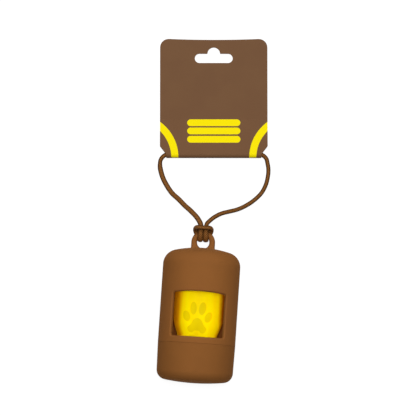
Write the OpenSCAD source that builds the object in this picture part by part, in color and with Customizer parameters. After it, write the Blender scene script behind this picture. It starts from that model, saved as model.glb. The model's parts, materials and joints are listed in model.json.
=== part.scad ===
// Bag dispenser for dog walks: a soft sleeve with a window and a hanging eye, a push-fit cup,
// a loose roll of bags inside, and a cord loop that carries a folded hang card.
// It lies on its back on z = 0 with the window up, and its long axis runs along Y.

/* [Body] */
// Outer diameter of the sleeve
body_d = 48; // [44:0.5:56]
// Length of sleeve and cup together, without the eye
body_len = 84; // [80:1:100]
// Length of the cup that closes the base
cap_len = 24.3; // [20.3:0.5:26.3]
// Wall of the sleeve
wall_t = 3; // [2.6:0.1:3.4]
// Wall of the domed top, at its middle
top_t = 3.6; // [3:0.1:4.5]
// Radius of the domed top
top_dome_r = 67; // [55:1:90]
// Radius of the edge round the domed top
top_edge_r = 9.2; // [7:0.2:10]

/* [Cup] */
// How much narrower the cup is at its base than at its lip, in diameter
cap_taper = 0.7; // [0:0.1:1.5]
// Wall of the cup below its seat
cap_wall_t = 3.2; // [2.8:0.1:3.6]
// Wall of the cup's lip, round the neck
lip_t = 1.5; // [1.2:0.1:1.8]
// Floor of the cup
cap_floor_t = 3.2; // [2.4:0.1:4]
// Radius of the cup's slightly crowned base
base_dome_r = 128; // [90:2:200]
// Radius of the edge round the base
base_edge_r = 6.2; // [5:0.2:8]
// Length of the neck that the cup slides over
neck_len = 9; // [7:0.5:11]
// Height of the sealing ribs on the neck
neck_rib_h = 0.2; // [0.1:0.05:0.3]
// Number of sealing ribs on the neck
neck_ribs = 2; // [1:1:3]
// Gap on the radius between the neck's ribs and the cup
neck_fit = 0.05; // [0.03:0.01:0.1]
// Width of the seam between sleeve and cup
seam_gap = 0.2; // [0.1:0.05:0.4]

/* [Window] */
// Width of the window, straight across
window_w = 32.8; // [28:0.2:34]
// Length of the window along the body, at its sides
window_len = 26.8; // [24:0.2:32]
// Distance from the seam to the window
window_rise = 4; // [3:0.1:6]
// Rise of the window's arched upper edge
window_arch = 1; // [0.5:0.1:2]
// How much narrower the window is inside the wall than outside, on each side
window_draft = 1.5; // [1:0.1:2]
// Radius of the window's corners
window_corner_r = 1; // [0.6:0.1:2]
// Width of the step round the window
rim_w = 1; // [0.6:0.1:1.4]
// Depth of the step round the window
rim_t = 0.5; // [0.3:0.1:0.8]

/* [Hanging eye] */
// Radius of the eye, to the middle of its bar
eye_r = 5.6; // [5.6:0.1:6.4]
// Thickness of the eye's bar
eye_bar_d = 3.6; // [3.2:0.1:3.6]
// Height of the eye's centre above the domed top
eye_rise = 3.4; // [3.2:0.1:4]
// Flare where the eye's sides run into the top
eye_foot_r = 1.2; // [0.8:0.1:1.6]

/* [Bag roll] */
// Diameter of the wound film at its fullest
roll_d = 30; // [28:0.5:31]
// Length of the roll
roll_len = 58; // [54:1:60]
// How much thinner the roll is at its ends, in diameter
roll_crown = 7.2; // [3:0.2:8]
// Length of the roll's straight, fullest part
roll_full_len = 16; // [12:1:20]
// Length of each shoulder, over which the roll thins out
roll_shoulder_len = 14; // [10:1:16]
// Outer diameter of the cardboard core
core_d = 13; // [11:0.5:15]
// Wall of the cardboard core
core_wall_t = 1.2; // [0.8:0.1:1.6]
// How far the core's ends lie inside the film
core_inset = 1; // [0.5:0.5:2]
// Thickness of the outermost bag, folded flat
bag_t = 0.4; // [0.3:0.05:0.5]
// How far round the roll the outermost bag reaches, in degrees
bag_wrap = 330; // [300:5:350]
// Gap between the lying roll and the wall that it rests on
roll_rest_gap = 0.3; // [0.2:0.05:0.5]

/* [Cord] */
// Diameter of the cord
cord_d = 2.7; // [2.5:0.05:2.75]
// Outer diameter of the sleeve that joins the cord's ends
joiner_d = 3.4; // [3.2:0.1:3.4]
// Length of the sleeve that joins the cord's ends
joiner_len = 12; // [8:1:20]

/* [Hang card] */
// Width of the card
card_w = 68; // [66:0.5:76]
// Height of the card above its folded edge
card_h = 76; // [68:1:90]
// Thickness of the card's sheet
card_t = 0.5; // [0.4:0.05:0.6]
// Width of the folded edge, between the cord's two notches
fold_w = 60; // [58:0.5:60]
// Clear space round the cord inside the fold
fold_gap = 0.5; // [0.4:0.05:0.6]
// Distance from the cord to where the two halves of the card meet
pocket_len = 22; // [16:1:30]
// Height of each notch on the side of the card
notch_h = 7.6; // [6:0.2:9]
// How far the card's upper edge dips in its middle
card_top_dip = 0.6; // [0.2:0.1:1]
// Radius of the card's upper corners
card_corner_r = 5.4; // [3:0.2:8]
// Width of the hanging slot
slot_w = 24; // [20:0.5:32]
// Height of the hanging slot
slot_h = 5.9; // [5:0.1:7]
// Radius of the hump in the middle of the hanging slot
slot_hump_r = 4; // [3:0.1:5]
// Distance from the middle of the slot to the card's upper edge
slot_drop = 12.4; // [11:0.2:16]

/* [Hidden] */

$fn = 96;
eps = 0.01;

silicone_brown = "saddlebrown";
cord_brown = "sienna";
bag_yellow = "gold";
cardboard = "tan";
card_brown = "rosybrown";
sleeve_black = "dimgray";

// Body
body_r = body_d / 2;
bore_r = body_r - wall_t;
bore_edge_r = top_edge_r - wall_t;
bore_dome_r = top_dome_r - top_t;
neck_r = body_r - lip_t - neck_fit;
neck_base_z = cap_len - neck_len;
rib_w = 1.2;
base_r = body_r - cap_taper / 2;
cup_r = body_r - cap_wall_t;
cup_edge_r = base_edge_r - cap_wall_t / 2;
seat_gap = 0.3;

// The eye's top and the base are equally far from the origin, so that it lies under the middle
eye_top = body_len + eye_rise + eye_r + eye_bar_d / 2;
eye_foot_z = body_len - 1;

// Roll, in the body's frame: it lies against the back wall, as near the top as its end allows
outer_wrap_gap = 0.05;
roll_r = roll_d / 2;
wrap_r = roll_r + outer_wrap_gap + bag_t;
roll_drop = bore_r - roll_rest_gap - wrap_r;
roll_top_gap = 3;
roll_base_z = body_len - top_t - roll_top_gap - roll_len;

// Card, in its own frame: the cord's straight run is its X axis, and its front looks along Z
card_at = [3, 97.5];
card_turn = 3.75;
fold_ir = cord_d / 2 + fold_gap;
fold_or = fold_ir + card_t;
slot_y = card_h - fold_or - slot_drop;

// Cord, in the part's frame. The hitch's points are taken from the middle of the eye's top bar,
// where it sits a little askew.
cord_sides = 8;
bar_at = [0, eye_top / 2 - eye_bar_d / 2, body_r];
hitch_shift = [-0.4, 0, 0];
hitch_turn = 0.5;
half_hitch = [
    [-2.35, 6.8, -0.2], [-1.85, 5.5, -0.1], [-1.6, 4.3, 0.6], [-1.5, 3.2, 2], [-1.5, 2, 3.4],
    [-1.5, 0.5, 4.3], [-1.5, -1.2, 4.3], [-1.5, -2.8, 3.4], [-1.55, -4, 1.7], [-1.6, -4.4, -0.2],
    [-1.65, -3.9, -2], [-2, -2.8, -3.4], [-2.8, -1.4, -4.1], [-3.7, 0, -4.1],
    [-4.5, 1.1, -3.4], [-5, 2.2, -2], [-5.05, 3.1, 0.1], [-4.6, 3.45, 2.3], [-3.7, 3.45, 4.4],
    [-2.1, 3.3, 6]
];
// The free loop runs from the hitch's left end through the card's fold to the hitch's right end
loop_run = [
    [-5, 55.5, 23], [-9, 59.5, 19.5], [-13, 63, 14.5], [-17, 67, 9], [-21.5, 71, 4],
    [-25, 75.5, 1.8], [-28, 80.5, 1.4], [-30, 86, 1.4], [-30.5, 90, 1.7],
    [-29.9, 92.6, 2.1], [-28, 94.7, 2.3], [-25.3, 95.6, 2.35], [-12, 96.5, 2.35],
    [3, 97.5, 2.35], [18, 98.5, 2.35], [31.3, 99.4, 2.35], [34.1, 98.8, 2.3],
    [36.3, 96.9, 2.1], [37.2, 94.2, 1.7], [38, 90.5, 1.4], [38, 86, 1.4], [37, 80.5, 1.4],
    [34.5, 75, 1.4], [30, 70, 2.2], [25, 66, 5.5], [20, 63, 10.5], [15, 61, 15.5],
    [10, 59, 20], [5.5, 56, 23]
];

// Points of an arc, with angles in degrees
function arc(center, r, from, to, steps) =
    [for (i = [0:steps]) let (a = from + (to - from) * i / steps) center + r * [cos(a), sin(a)]];

// Half outline of a round end, from the straight wall to the crown of the dome on the axis
function round_end(r, crown_z, dome_r, edge_r) =
    let (
        dome_z = crown_z - dome_r,
        edge_x = r - edge_r,
        edge_z = dome_z + sqrt(pow(dome_r - edge_r, 2) - pow(edge_x, 2)),
        meet = atan2(edge_z - dome_z, edge_x)
    )
    concat(
        arc([edge_x, edge_z], edge_r, 0, meet, 12),
        [for (p = arc([0, dome_z], dome_r, meet, 90, 8)) if (p.x > eps && p.x < dome_r * cos(meet) - eps) p],
        [[0, crown_z]]
    );

// The same outline, for an end that faces down
function round_base(r, crown_z, dome_r, edge_r) =
    [for (p = round_end(r, -crown_z, dome_r, edge_r)) [p.x, -p.y]];

// A point turned about Z, in degrees
function turned(p, turn) =
    [p.x * cos(turn) - p.y * sin(turn), p.x * sin(turn) + p.y * cos(turn), p.z];

function backwards(list) = [for (i = [len(list) - 1:-1:0]) list[i]];

// Moves what stands on its base round Z to where the dispenser lies, with its front up
module lying() {
    translate([0, -eye_top / 2, body_r]) rotate([-90, 0, 0]) children();
}

// Sleeve -------------------------------------------------------------------

module sleeve_blank() {
    rib_pitch = neck_len / (neck_ribs + 1);
    ribs = [for (i = [1:neck_ribs]) let (z = neck_base_z + i * rib_pitch)
        each [[neck_r - neck_rib_h, z - rib_w / 2], [neck_r, z - rib_w / 6],
              [neck_r, z + rib_w / 6], [neck_r - neck_rib_h, z + rib_w / 2]]];
    rotate_extrude() polygon(concat(
        [[0, neck_base_z], [neck_r - neck_rib_h, neck_base_z]],
        ribs,
        [[neck_r - neck_rib_h, cap_len + seam_gap], [body_r, cap_len + seam_gap]],
        round_end(body_r, body_len, top_dome_r, top_edge_r)
    ));
}

module sleeve_bore() {
    rotate_extrude() polygon(concat(
        [[0, neck_base_z - 1], [bore_r, neck_base_z - 1]],
        round_end(bore_r, body_len - top_t, bore_dome_r, bore_edge_r)
    ));
}

// A ring in the body's middle plane, on two straight sides that flare into the domed top
module hanging_eye() {
    bar_r = eye_bar_d / 2;
    eye_z = body_len + eye_rise;
    foot_z = body_len - top_t / 4;
    translate([0, 0, eye_z]) rotate([90, 0, 0]) rotate_extrude() translate([eye_r, 0]) circle(bar_r);
    for (side = [-1, 1]) translate([side * eye_r, 0, 0]) rotate_extrude() polygon(concat(
        [[0, foot_z - 1], [bar_r + eye_foot_r, foot_z - 1]],
        backwards(arc([bar_r + eye_foot_r, foot_z + eye_foot_r], eye_foot_r, 180, 270, 6)),
        [[bar_r, eye_z], [0, eye_z]]
    ));
}

// The window's outline, seen from the front, grown all round by a margin
function window_outline(margin) =
    let (
        corner_r = window_corner_r + margin,
        side_x = window_w / 2 + margin,
        low_z = cap_len + window_rise - margin,
        high_z = cap_len + window_rise + window_len + margin,
        half_chord = side_x - corner_r,
        arch_r = (pow(half_chord, 2) + pow(window_arch, 2)) / (2 * window_arch),
        arch_turn = asin(half_chord / arch_r)
    )
    concat(
        arc([-half_chord, low_z + corner_r], corner_r, 180, 270, 4),
        arc([half_chord, low_z + corner_r], corner_r, 270, 360, 4),
        arc([half_chord, high_z - corner_r], corner_r, 0, 90, 4),
        [for (a = [-3:3]) let (turn = -a * arch_turn / 4)
            [arch_r * sin(turn), high_z + window_arch - arch_r + arch_r * cos(turn)]],
        arc([-half_chord, high_z - corner_r], corner_r, 90, 180, 4)
    );

module window_cut(margin) {
    rotate([90, 0, 0]) linear_extrude(body_r + 1) polygon(window_outline(margin));
}

// What the hole leaves between its side faces, which lean out from the roll to the front
module window_sides() {
    lean = window_draft / wall_t;
    front_y = body_r + 1;
    edge_x = window_w / 2;
    edge_y = sqrt(pow(body_r, 2) - pow(edge_x, 2));
    near_x = edge_x - lean * edge_y;
    front_x = edge_x + lean * (front_y - edge_y);
    linear_extrude(body_len)
        polygon([[near_x, 0], [-near_x, 0], [-front_x, -front_y], [front_x, -front_y]]);
}

module shell() {
    color(silicone_brown) lying() difference() {
        union() {
            sleeve_blank();
            hanging_eye();
        }
        sleeve_bore();
        intersection() {
            window_cut(0);
            window_sides();
        }
        difference() {
            window_cut(rim_w);
            cylinder(r = body_r - rim_t, h = body_len);
        }
    }
}

// Cup ----------------------------------------------------------------------

module end_cap() {
    seat_z = neck_base_z - seat_gap;
    color(silicone_brown) lying() rotate_extrude() polygon(concat(
        [[body_r - lip_t, seat_z], [body_r - lip_t, cap_len], [body_r, cap_len]],
        round_base(base_r, 0, base_dome_r, base_edge_r),
        backwards(round_base(cup_r, cap_floor_t, base_dome_r - cap_floor_t, cup_edge_r)),
        [[cup_r, seat_z]]
    ));
}

// Roll ---------------------------------------------------------------------

// Outline of the roll's outside: straight in the middle, with soft shoulders down to both ends
function roll_outline(extra) =
    let (
        shoulder = [for (t = [0:1 / 8:1])
            [roll_crown / 2 * t * t * (3 - 2 * t), roll_full_len / 2 + roll_shoulder_len * t]],
        half = concat(shoulder, [[roll_crown / 2, roll_len / 2]]),
        full = [roll_r + extra, roll_base_z + roll_len / 2]
    )
    concat([for (p = backwards(half)) full - p], [for (p = half) full + [-p.x, p.y]]);

module on_roll_axis() {
    lying() translate([0, roll_drop, 0]) children();
}

module bag_roll() {
    film_bore_r = core_d / 2 + outer_wrap_gap;
    color(bag_yellow) on_roll_axis() rotate_extrude() polygon(concat(
        [[film_bore_r, roll_base_z]],
        roll_outline(0),
        [[film_bore_r, roll_base_z + roll_len]]
    ));
}

module first_bag() {
    color(bag_yellow) on_roll_axis() rotate([0, 0, 90 - bag_wrap]) rotate_extrude(angle = bag_wrap)
        polygon(concat(
            roll_outline(outer_wrap_gap + bag_t),
            backwards(roll_outline(outer_wrap_gap))
        ));
}

module roll_core() {
    color(cardboard) on_roll_axis() translate([0, 0, roll_base_z + core_inset]) difference() {
        cylinder(d = core_d, h = roll_len - 2 * core_inset);
        translate([0, 0, -1]) cylinder(d = core_d - 2 * core_wall_t, h = roll_len);
    }
}

// Cord ---------------------------------------------------------------------

hitch_run = [for (p = concat(
    half_hitch, [[0, 3.2, 6.5]], [for (p = backwards(half_hitch)) [-p.x, p.y, p.z]]
)) bar_at + hitch_shift + turned(p, hitch_turn)];
whole_cord = concat(hitch_run, backwards(loop_run));

function cord_point(i) = whole_cord[(i + len(whole_cord)) % len(whole_cord)];
function unit(v) = v / norm(v);
function cord_direction(i) = unit(cord_point(i + 1) - cord_point(i - 1));
// The part of a vector that is square to a direction, at unit length
function squared(v, direction) = unit(v - (v * direction) * direction);

// Directions square to the cord at each of its points, carried along without a twist
function carried_sides(from, count) =
    [for (i = 0, side = squared([1, 0, 0], cord_direction(from)); i < count;
          i = i + 1, side = squared(side, cord_direction(from + i))) side];

module cord_run(from, count) {
    sides = carried_sides(from, count);
    rings = [for (i = [0:count - 1], k = [0:cord_sides - 1])
        let (out = sides[i], along = cross(cord_direction(from + i), out), a = 360 * k / cord_sides)
        cord_point(from + i) + cord_d / 2 * (out * cos(a) + along * sin(a))];
    walls = [for (i = [0:count - 2], k = [0:cord_sides - 1])
        let (next = (k + 1) % cord_sides, low = i * cord_sides, high = low + cord_sides)
        each [[low + k, high + k, high + next], [low + k, high + next, low + next]]];
    start_face = [for (k = [0:cord_sides - 1]) k];
    end_face = [for (k = [cord_sides - 1:-1:0]) (count - 1) * cord_sides + k];
    polyhedron(rings, concat(walls, [start_face, end_face]));
}

module lanyard_hitch() {
    color(cord_brown) cord_run(0, len(hitch_run));
}

module lanyard_loop() {
    color(cord_brown) cord_run(len(hitch_run) - 1, len(loop_run) + 2);
}

// Places what is drawn on the card, whose X axis is the cord's straight run
module on_card() {
    translate([card_at.x, card_at.y, fold_or]) rotate([0, 0, card_turn]) children();
}

module cord_joiner() {
    color(sleeve_black) on_card() rotate([0, 90, 0]) difference() {
        cylinder(d = joiner_d, h = joiner_len, center = true);
        cylinder(r = cord_d / 2 + 0.03, h = joiner_len + 1, center = true);
    }
}

// Card ---------------------------------------------------------------------

// The folded sheet from its side: flat back, round fold, and a front that slopes down to the back
module card_section() {
    slope = 2 * atan(fold_ir / pocket_len);
    far_y = card_h - fold_or;
    front_z = card_t - fold_ir;
    difference() {
        polygon(concat(
            [[far_y, -fold_or]],
            arc([0, 0], fold_or, 270, 90 - slope, 16),
            [[pocket_len + card_t * tan(slope / 2), front_z], [far_y, front_z]]
        ));
        polygon(concat(arc([0, 0], fold_ir, 270, 90 - slope, 16), [[pocket_len, -fold_ir]]));
    }
}

// The card from the front, with its rounded upper corners and the two notches for the cord
module card_outline() {
    half_w = card_w / 2;
    far_y = card_h - fold_or;
    notch_y = notch_h - fold_or;
    polygon(concat(
        [[-fold_w / 2, -fold_or - 1], [fold_w / 2, -fold_or - 1], [fold_w / 2, eps], [half_w, notch_y]],
        arc([half_w - card_corner_r, far_y - card_corner_r], card_corner_r, 0, 90, 6),
        [for (t = [0.75:-0.25:-0.75])
            [t * (half_w - card_corner_r), far_y - card_top_dip * (1 - t * t)]],
        arc([card_corner_r - half_w, far_y - card_corner_r], card_corner_r, 90, 180, 6),
        [[-half_w, notch_y], [-fold_w / 2, eps]]
    ));
}

module hanging_slot() {
    end_x = (slot_w - slot_h) / 2;
    translate([0, slot_y]) {
        square([2 * end_x, slot_h], center = true);
        for (side = [-1, 1]) translate([side * end_x, 0]) circle(slot_h / 2);
        translate([0, slot_h / 2]) circle(slot_hump_r);
    }
}

module hang_card() {
    deep = 4 * fold_or;
    color(card_brown) on_card() intersection() {
        rotate([90, 0, 90]) linear_extrude(card_w + 2, center = true) card_section();
        linear_extrude(deep, center = true) difference() {
            card_outline();
            hanging_slot();
        }
    }
}

shell();
end_cap();
bag_roll();
first_bag();
roll_core();
lanyard_hitch();
lanyard_loop();
cord_joiner();
hang_card();
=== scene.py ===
"""Looks of a bag dispenser for dog walks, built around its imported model.

The dispenser lies on its back with the window up: a silicone sleeve with a hanging eye, a push-fit
cup, a roll of yellow bags inside, and a braided cord that hangs it from a folded card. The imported
model gives every place and every moving body. What is made here is modelled in metres in the same
frame, with the body's axis along Y.
"""

from __future__ import annotations

import json
import logging
import math
from contextlib import contextmanager
from dataclasses import dataclass, field
from enum import Enum
from functools import reduce
from typing import Callable, Iterator, Sequence

import bpy
from mathutils import Euler, Matrix, Vector
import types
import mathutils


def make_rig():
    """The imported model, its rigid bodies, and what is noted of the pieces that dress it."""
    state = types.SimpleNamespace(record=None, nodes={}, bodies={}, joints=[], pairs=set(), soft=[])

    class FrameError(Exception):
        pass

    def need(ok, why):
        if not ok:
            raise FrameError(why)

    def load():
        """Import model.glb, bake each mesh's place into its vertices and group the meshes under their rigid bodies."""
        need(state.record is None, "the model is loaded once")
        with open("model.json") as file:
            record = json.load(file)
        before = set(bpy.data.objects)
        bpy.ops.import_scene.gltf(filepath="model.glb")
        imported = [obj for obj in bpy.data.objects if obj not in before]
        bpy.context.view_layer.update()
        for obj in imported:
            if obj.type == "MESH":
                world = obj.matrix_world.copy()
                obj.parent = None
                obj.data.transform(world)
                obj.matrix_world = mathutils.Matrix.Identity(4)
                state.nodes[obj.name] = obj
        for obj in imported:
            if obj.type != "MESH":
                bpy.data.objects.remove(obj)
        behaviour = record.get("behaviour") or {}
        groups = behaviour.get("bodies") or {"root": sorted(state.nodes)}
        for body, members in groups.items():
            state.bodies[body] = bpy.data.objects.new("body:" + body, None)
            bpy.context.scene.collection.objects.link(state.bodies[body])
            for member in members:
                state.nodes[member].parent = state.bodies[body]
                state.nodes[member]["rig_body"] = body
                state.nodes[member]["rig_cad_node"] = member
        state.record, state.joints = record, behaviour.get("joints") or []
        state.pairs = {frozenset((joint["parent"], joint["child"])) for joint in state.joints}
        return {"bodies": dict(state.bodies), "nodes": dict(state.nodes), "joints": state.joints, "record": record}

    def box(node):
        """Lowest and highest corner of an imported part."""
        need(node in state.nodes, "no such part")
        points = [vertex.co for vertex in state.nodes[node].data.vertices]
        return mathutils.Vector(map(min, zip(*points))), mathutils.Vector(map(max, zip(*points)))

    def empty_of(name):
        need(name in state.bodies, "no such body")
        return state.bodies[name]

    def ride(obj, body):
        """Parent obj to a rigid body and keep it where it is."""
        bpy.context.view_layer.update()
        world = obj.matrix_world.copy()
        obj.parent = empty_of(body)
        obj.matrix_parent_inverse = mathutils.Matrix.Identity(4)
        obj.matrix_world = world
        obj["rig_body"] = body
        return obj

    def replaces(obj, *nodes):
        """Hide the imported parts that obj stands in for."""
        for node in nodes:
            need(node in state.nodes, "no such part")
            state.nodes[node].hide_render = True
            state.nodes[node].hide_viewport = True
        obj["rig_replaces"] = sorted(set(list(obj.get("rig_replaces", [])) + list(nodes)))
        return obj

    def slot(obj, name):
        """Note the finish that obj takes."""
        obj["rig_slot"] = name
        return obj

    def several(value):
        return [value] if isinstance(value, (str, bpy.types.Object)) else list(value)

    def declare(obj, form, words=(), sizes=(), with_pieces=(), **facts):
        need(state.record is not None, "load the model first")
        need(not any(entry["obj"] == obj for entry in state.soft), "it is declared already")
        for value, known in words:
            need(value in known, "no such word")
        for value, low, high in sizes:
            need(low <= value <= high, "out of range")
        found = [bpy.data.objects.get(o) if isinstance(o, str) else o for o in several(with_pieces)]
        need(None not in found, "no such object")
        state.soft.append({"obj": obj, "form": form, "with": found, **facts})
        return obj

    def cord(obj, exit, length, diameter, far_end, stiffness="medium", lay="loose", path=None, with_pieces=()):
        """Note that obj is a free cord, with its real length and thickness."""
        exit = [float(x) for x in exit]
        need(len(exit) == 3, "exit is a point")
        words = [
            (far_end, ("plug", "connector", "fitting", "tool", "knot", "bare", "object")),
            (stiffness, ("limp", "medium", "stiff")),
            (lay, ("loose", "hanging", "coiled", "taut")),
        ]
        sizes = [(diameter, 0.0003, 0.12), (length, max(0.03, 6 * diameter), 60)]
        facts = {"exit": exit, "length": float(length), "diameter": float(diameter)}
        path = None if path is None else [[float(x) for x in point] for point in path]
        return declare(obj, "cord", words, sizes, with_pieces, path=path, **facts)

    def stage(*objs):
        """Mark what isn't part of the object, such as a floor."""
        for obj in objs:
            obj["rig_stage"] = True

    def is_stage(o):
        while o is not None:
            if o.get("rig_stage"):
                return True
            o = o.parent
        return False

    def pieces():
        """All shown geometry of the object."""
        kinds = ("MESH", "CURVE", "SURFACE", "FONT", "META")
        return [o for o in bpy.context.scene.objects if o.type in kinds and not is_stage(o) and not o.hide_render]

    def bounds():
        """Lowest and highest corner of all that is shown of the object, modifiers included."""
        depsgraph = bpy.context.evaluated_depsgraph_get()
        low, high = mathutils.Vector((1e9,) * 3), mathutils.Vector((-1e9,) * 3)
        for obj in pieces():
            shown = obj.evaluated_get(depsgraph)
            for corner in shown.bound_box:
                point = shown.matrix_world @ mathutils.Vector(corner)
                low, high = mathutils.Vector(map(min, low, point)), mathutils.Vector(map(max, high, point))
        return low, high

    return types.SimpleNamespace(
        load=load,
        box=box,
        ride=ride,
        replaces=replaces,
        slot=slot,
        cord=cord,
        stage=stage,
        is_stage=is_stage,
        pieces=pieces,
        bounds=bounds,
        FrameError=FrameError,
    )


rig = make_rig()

log = logging.getLogger("bag_dispenser")

MM = 0.001
TINY = 0.01 * MM
FULL_TURN = 360.0
SMOOTH_ANGLE = 40.0
TUBE_ANGLE = 60.0
EDGE_STEPS = 14
DOME_STEPS = 16
ROLL_AXIS_Z = 18.75 * MM
WHITE = (1.0, 1.0, 1.0, 1.0)
SIZE_FILE = "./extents.json"

Object = bpy.types.Object
Socket = bpy.types.NodeSocket
Tint = tuple[float, ...]
Oval = tuple[float, ...]
Range = tuple[float, float]
Outline = list[tuple[float, float]]
Test = Callable[[list[Vector]], bool]


# Workbench ------------------------------------------------------------------


class Element(Enum):
    """Kinds of mesh element that a selection holds."""

    VERTEX = "VERT"
    EDGE = "EDGE"
    FACE = "FACE"


class Side(Enum):
    """The two sides of what is mirrored about the middle plane."""

    LEFT = -1
    RIGHT = 1


def take(obj: Object) -> None:
    """Makes an object the active one and the only one selected.

    Args:
        obj: The object to work on.
    """
    if bpy.context.object and bpy.context.object.mode != "OBJECT":
        bpy.ops.object.mode_set(mode="OBJECT")
    bpy.ops.object.select_all(action="DESELECT")
    obj.select_set(True)
    bpy.context.view_layer.objects.active = obj


def added(name: str) -> Object:
    """Names the primitive that was just added, with its place moved into its mesh.

    Args:
        name: The piece's name.

    Returns:
        The object, at the origin, unturned and unscaled.
    """
    obj = bpy.context.object
    obj.name = obj.data.name = name
    bpy.ops.object.transform_apply(location=True, rotation=True, scale=True)
    return obj


@contextmanager
def editing(obj: Object) -> Iterator[None]:
    """Keeps an object in edit mode, with all of it selected at the start.

    Args:
        obj: The mesh object to edit.

    Yields:
        Nothing; the operators inside act on the object.
    """
    take(obj)
    bpy.ops.object.mode_set(mode="EDIT")
    bpy.ops.mesh.select_mode(type=Element.VERTEX.value)
    bpy.ops.mesh.select_all(action="SELECT")
    yield
    bpy.ops.object.mode_set(mode="OBJECT")


@contextmanager
def picked(obj: Object, element: Element, wanted: Test) -> Iterator[None]:
    """Keeps an object in edit mode with only the wanted elements selected.

    Args:
        obj: The mesh object to edit.
        element: The kind of element to select.
        wanted: Says from the places of its corners whether an element is wanted.

    Yields:
        Nothing; the operators inside act on the selection.
    """
    take(obj)
    bpy.ops.object.mode_set(mode="EDIT")
    bpy.ops.mesh.select_mode(type=element.value)
    bpy.ops.mesh.select_all(action="DESELECT")
    bpy.ops.object.mode_set(mode="OBJECT")
    mesh = obj.data
    kinds = {Element.VERTEX: mesh.vertices, Element.EDGE: mesh.edges, Element.FACE: mesh.polygons}
    for item in kinds[element]:
        corners = [item.index] if element is Element.VERTEX else item.vertices
        item.select = wanted([mesh.vertices[i].co for i in corners])
    bpy.ops.object.mode_set(mode="EDIT")
    yield
    bpy.ops.object.mode_set(mode="OBJECT")


def move_vertices(obj: Object, moved: Callable[[Vector], Vector]) -> None:
    """Moves each vertex of a mesh to where a rule puts it.

    Args:
        obj: The mesh object to reshape.
        moved: Gives the new place of a vertex from its old one.
    """
    for vertex in obj.data.vertices:
        vertex.co = moved(vertex.co.copy())
    obj.data.update()


def slab(name: str, half_w: float, along: tuple[float, float], up: tuple[float, float]) -> Object:
    """Adds a flat block, centred across, as a start for what is cut from it.

    Args:
        name: The object's name.
        half_w: How far it reaches to each side.
        along: Where it starts and ends along Y.
        up: Where it starts and ends along Z.

    Returns:
        The block.
    """
    bpy.ops.object.select_all(action="DESELECT")
    bpy.ops.mesh.primitive_cube_add(
        size=1, location=(0, sum(along) / 2, sum(up) / 2),
        scale=(2 * half_w, along[1] - along[0], up[1] - up[0]),
    )
    return added(name)


def cut_strips(obj: Object, half_w: float, count: int) -> None:
    """Cuts even strips across a flat block, so that it can bend.

    Args:
        obj: The block.
        half_w: How far the strips reach to each side.
        count: How many strips there are.
    """
    with editing(obj):
        for k in range(1, count):
            bpy.ops.mesh.select_all(action="SELECT")
            cut_x = half_w * (2 * k / count - 1)
            bpy.ops.mesh.bisect(plane_co=(cut_x, 0, 0), plane_no=(1, 0, 0))


def bevel_edges(obj: Object, wanted: Test, r: float, segments: int) -> None:
    """Rounds the wanted edges of an object.

    Args:
        obj: The object.
        wanted: Says from its two ends whether an edge is wanted.
        r: How far the rounding reaches.
        segments: How many faces it has.
    """
    with picked(obj, Element.EDGE, wanted):
        bpy.ops.mesh.bevel(offset=r, offset_type="OFFSET", segments=segments, affect="EDGES")


def drawn_line(name: str, points: Sequence[Vector]) -> Object:
    """Draws a line of edges by extruding one vertex from point to point.

    Args:
        name: The object's name.
        points: Where the line goes.

    Returns:
        The object that holds the line.
    """
    bpy.ops.object.select_all(action="DESELECT")
    bpy.ops.mesh.primitive_plane_add(size=MM, location=points[0])
    obj = added(name)
    with editing(obj):
        bpy.ops.mesh.merge(type="CENTER")
        for before, after in zip(points, points[1:]):
            bpy.ops.mesh.extrude_vertices_move(TRANSFORM_OT_translate={"value": after - before})
    return obj


def turned(
    name: str, outline: Outline, axis: tuple[float, float], steps: int, wrap: float = FULL_TURN
) -> Object:
    """Turns an outline about an axis along Y, from straight below the axis.

    Args:
        name: The object's name.
        outline: Points as (distance from the axis, place along it).
        axis: Where the axis lies in X and Z.
        steps: How many faces a full turn has.
        wrap: How far it turns, in degrees.

    Returns:
        The turned object.
    """
    x, z = axis
    obj = drawn_line(name, [Vector((x, y, z - r)) for r, y in outline])
    with editing(obj):
        bpy.ops.mesh.spin(
            steps=round(steps * wrap / FULL_TURN), angle=math.radians(wrap), center=(x, 0, z),
            axis=(0, 1, 0),
        )
        bpy.ops.mesh.remove_doubles(threshold=TINY)
    return obj


def join(parts: Sequence[Object]) -> Object:
    """Joins objects into the first of them and merges the vertices that meet.

    Args:
        parts: The objects to join.

    Returns:
        The joined object.
    """
    take(parts[0])
    for part in parts[1:]:
        part.select_set(True)
    bpy.ops.object.join()
    with editing(parts[0]):
        bpy.ops.mesh.remove_doubles(threshold=TINY)
    return parts[0]


def face_outwards(obj: Object) -> None:
    """Turns every face of a closed mesh outwards."""
    with editing(obj):
        bpy.ops.mesh.normals_make_consistent(inside=False)


def smooth(obj: Object, angle: float = SMOOTH_ANGLE) -> None:
    """Shades a mesh smooth, with edges sharper than an angle in degrees kept sharp."""
    take(obj)
    bpy.ops.object.shade_smooth_by_angle(angle=math.radians(angle))


def apply_modifier(obj: Object, kind: str, **settings: object) -> None:
    """Adds a modifier with its settings and applies it at once.

    Args:
        obj: The object to change.
        kind: Blender's name for the kind of modifier.
        **settings: The modifier's settings by name.
    """
    modifier = obj.modifiers.new(kind.title(), kind)
    for name, value in settings.items():
        setattr(modifier, name, value)
    take(obj)
    bpy.ops.object.modifier_apply(modifier=modifier.name)


def combine(obj: Object, tool: Object, operation: str) -> None:
    """Cuts a closed tool out of an object or unites the two, and puts the tool away.

    Args:
        obj: The object to change.
        tool: The closed shape that it is cut or united with.
        operation: Blender's name for the boolean operation.
    """
    apply_modifier(obj, "BOOLEAN", object=tool, operation=operation, solver="EXACT")
    bpy.data.objects.remove(tool)


# Shared geometry ------------------------------------------------------------


def upright(ends: list[Vector]) -> bool:
    """Says whether an edge stands upright."""
    return (ends[0] - ends[1]).xy.length < TINY


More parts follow.
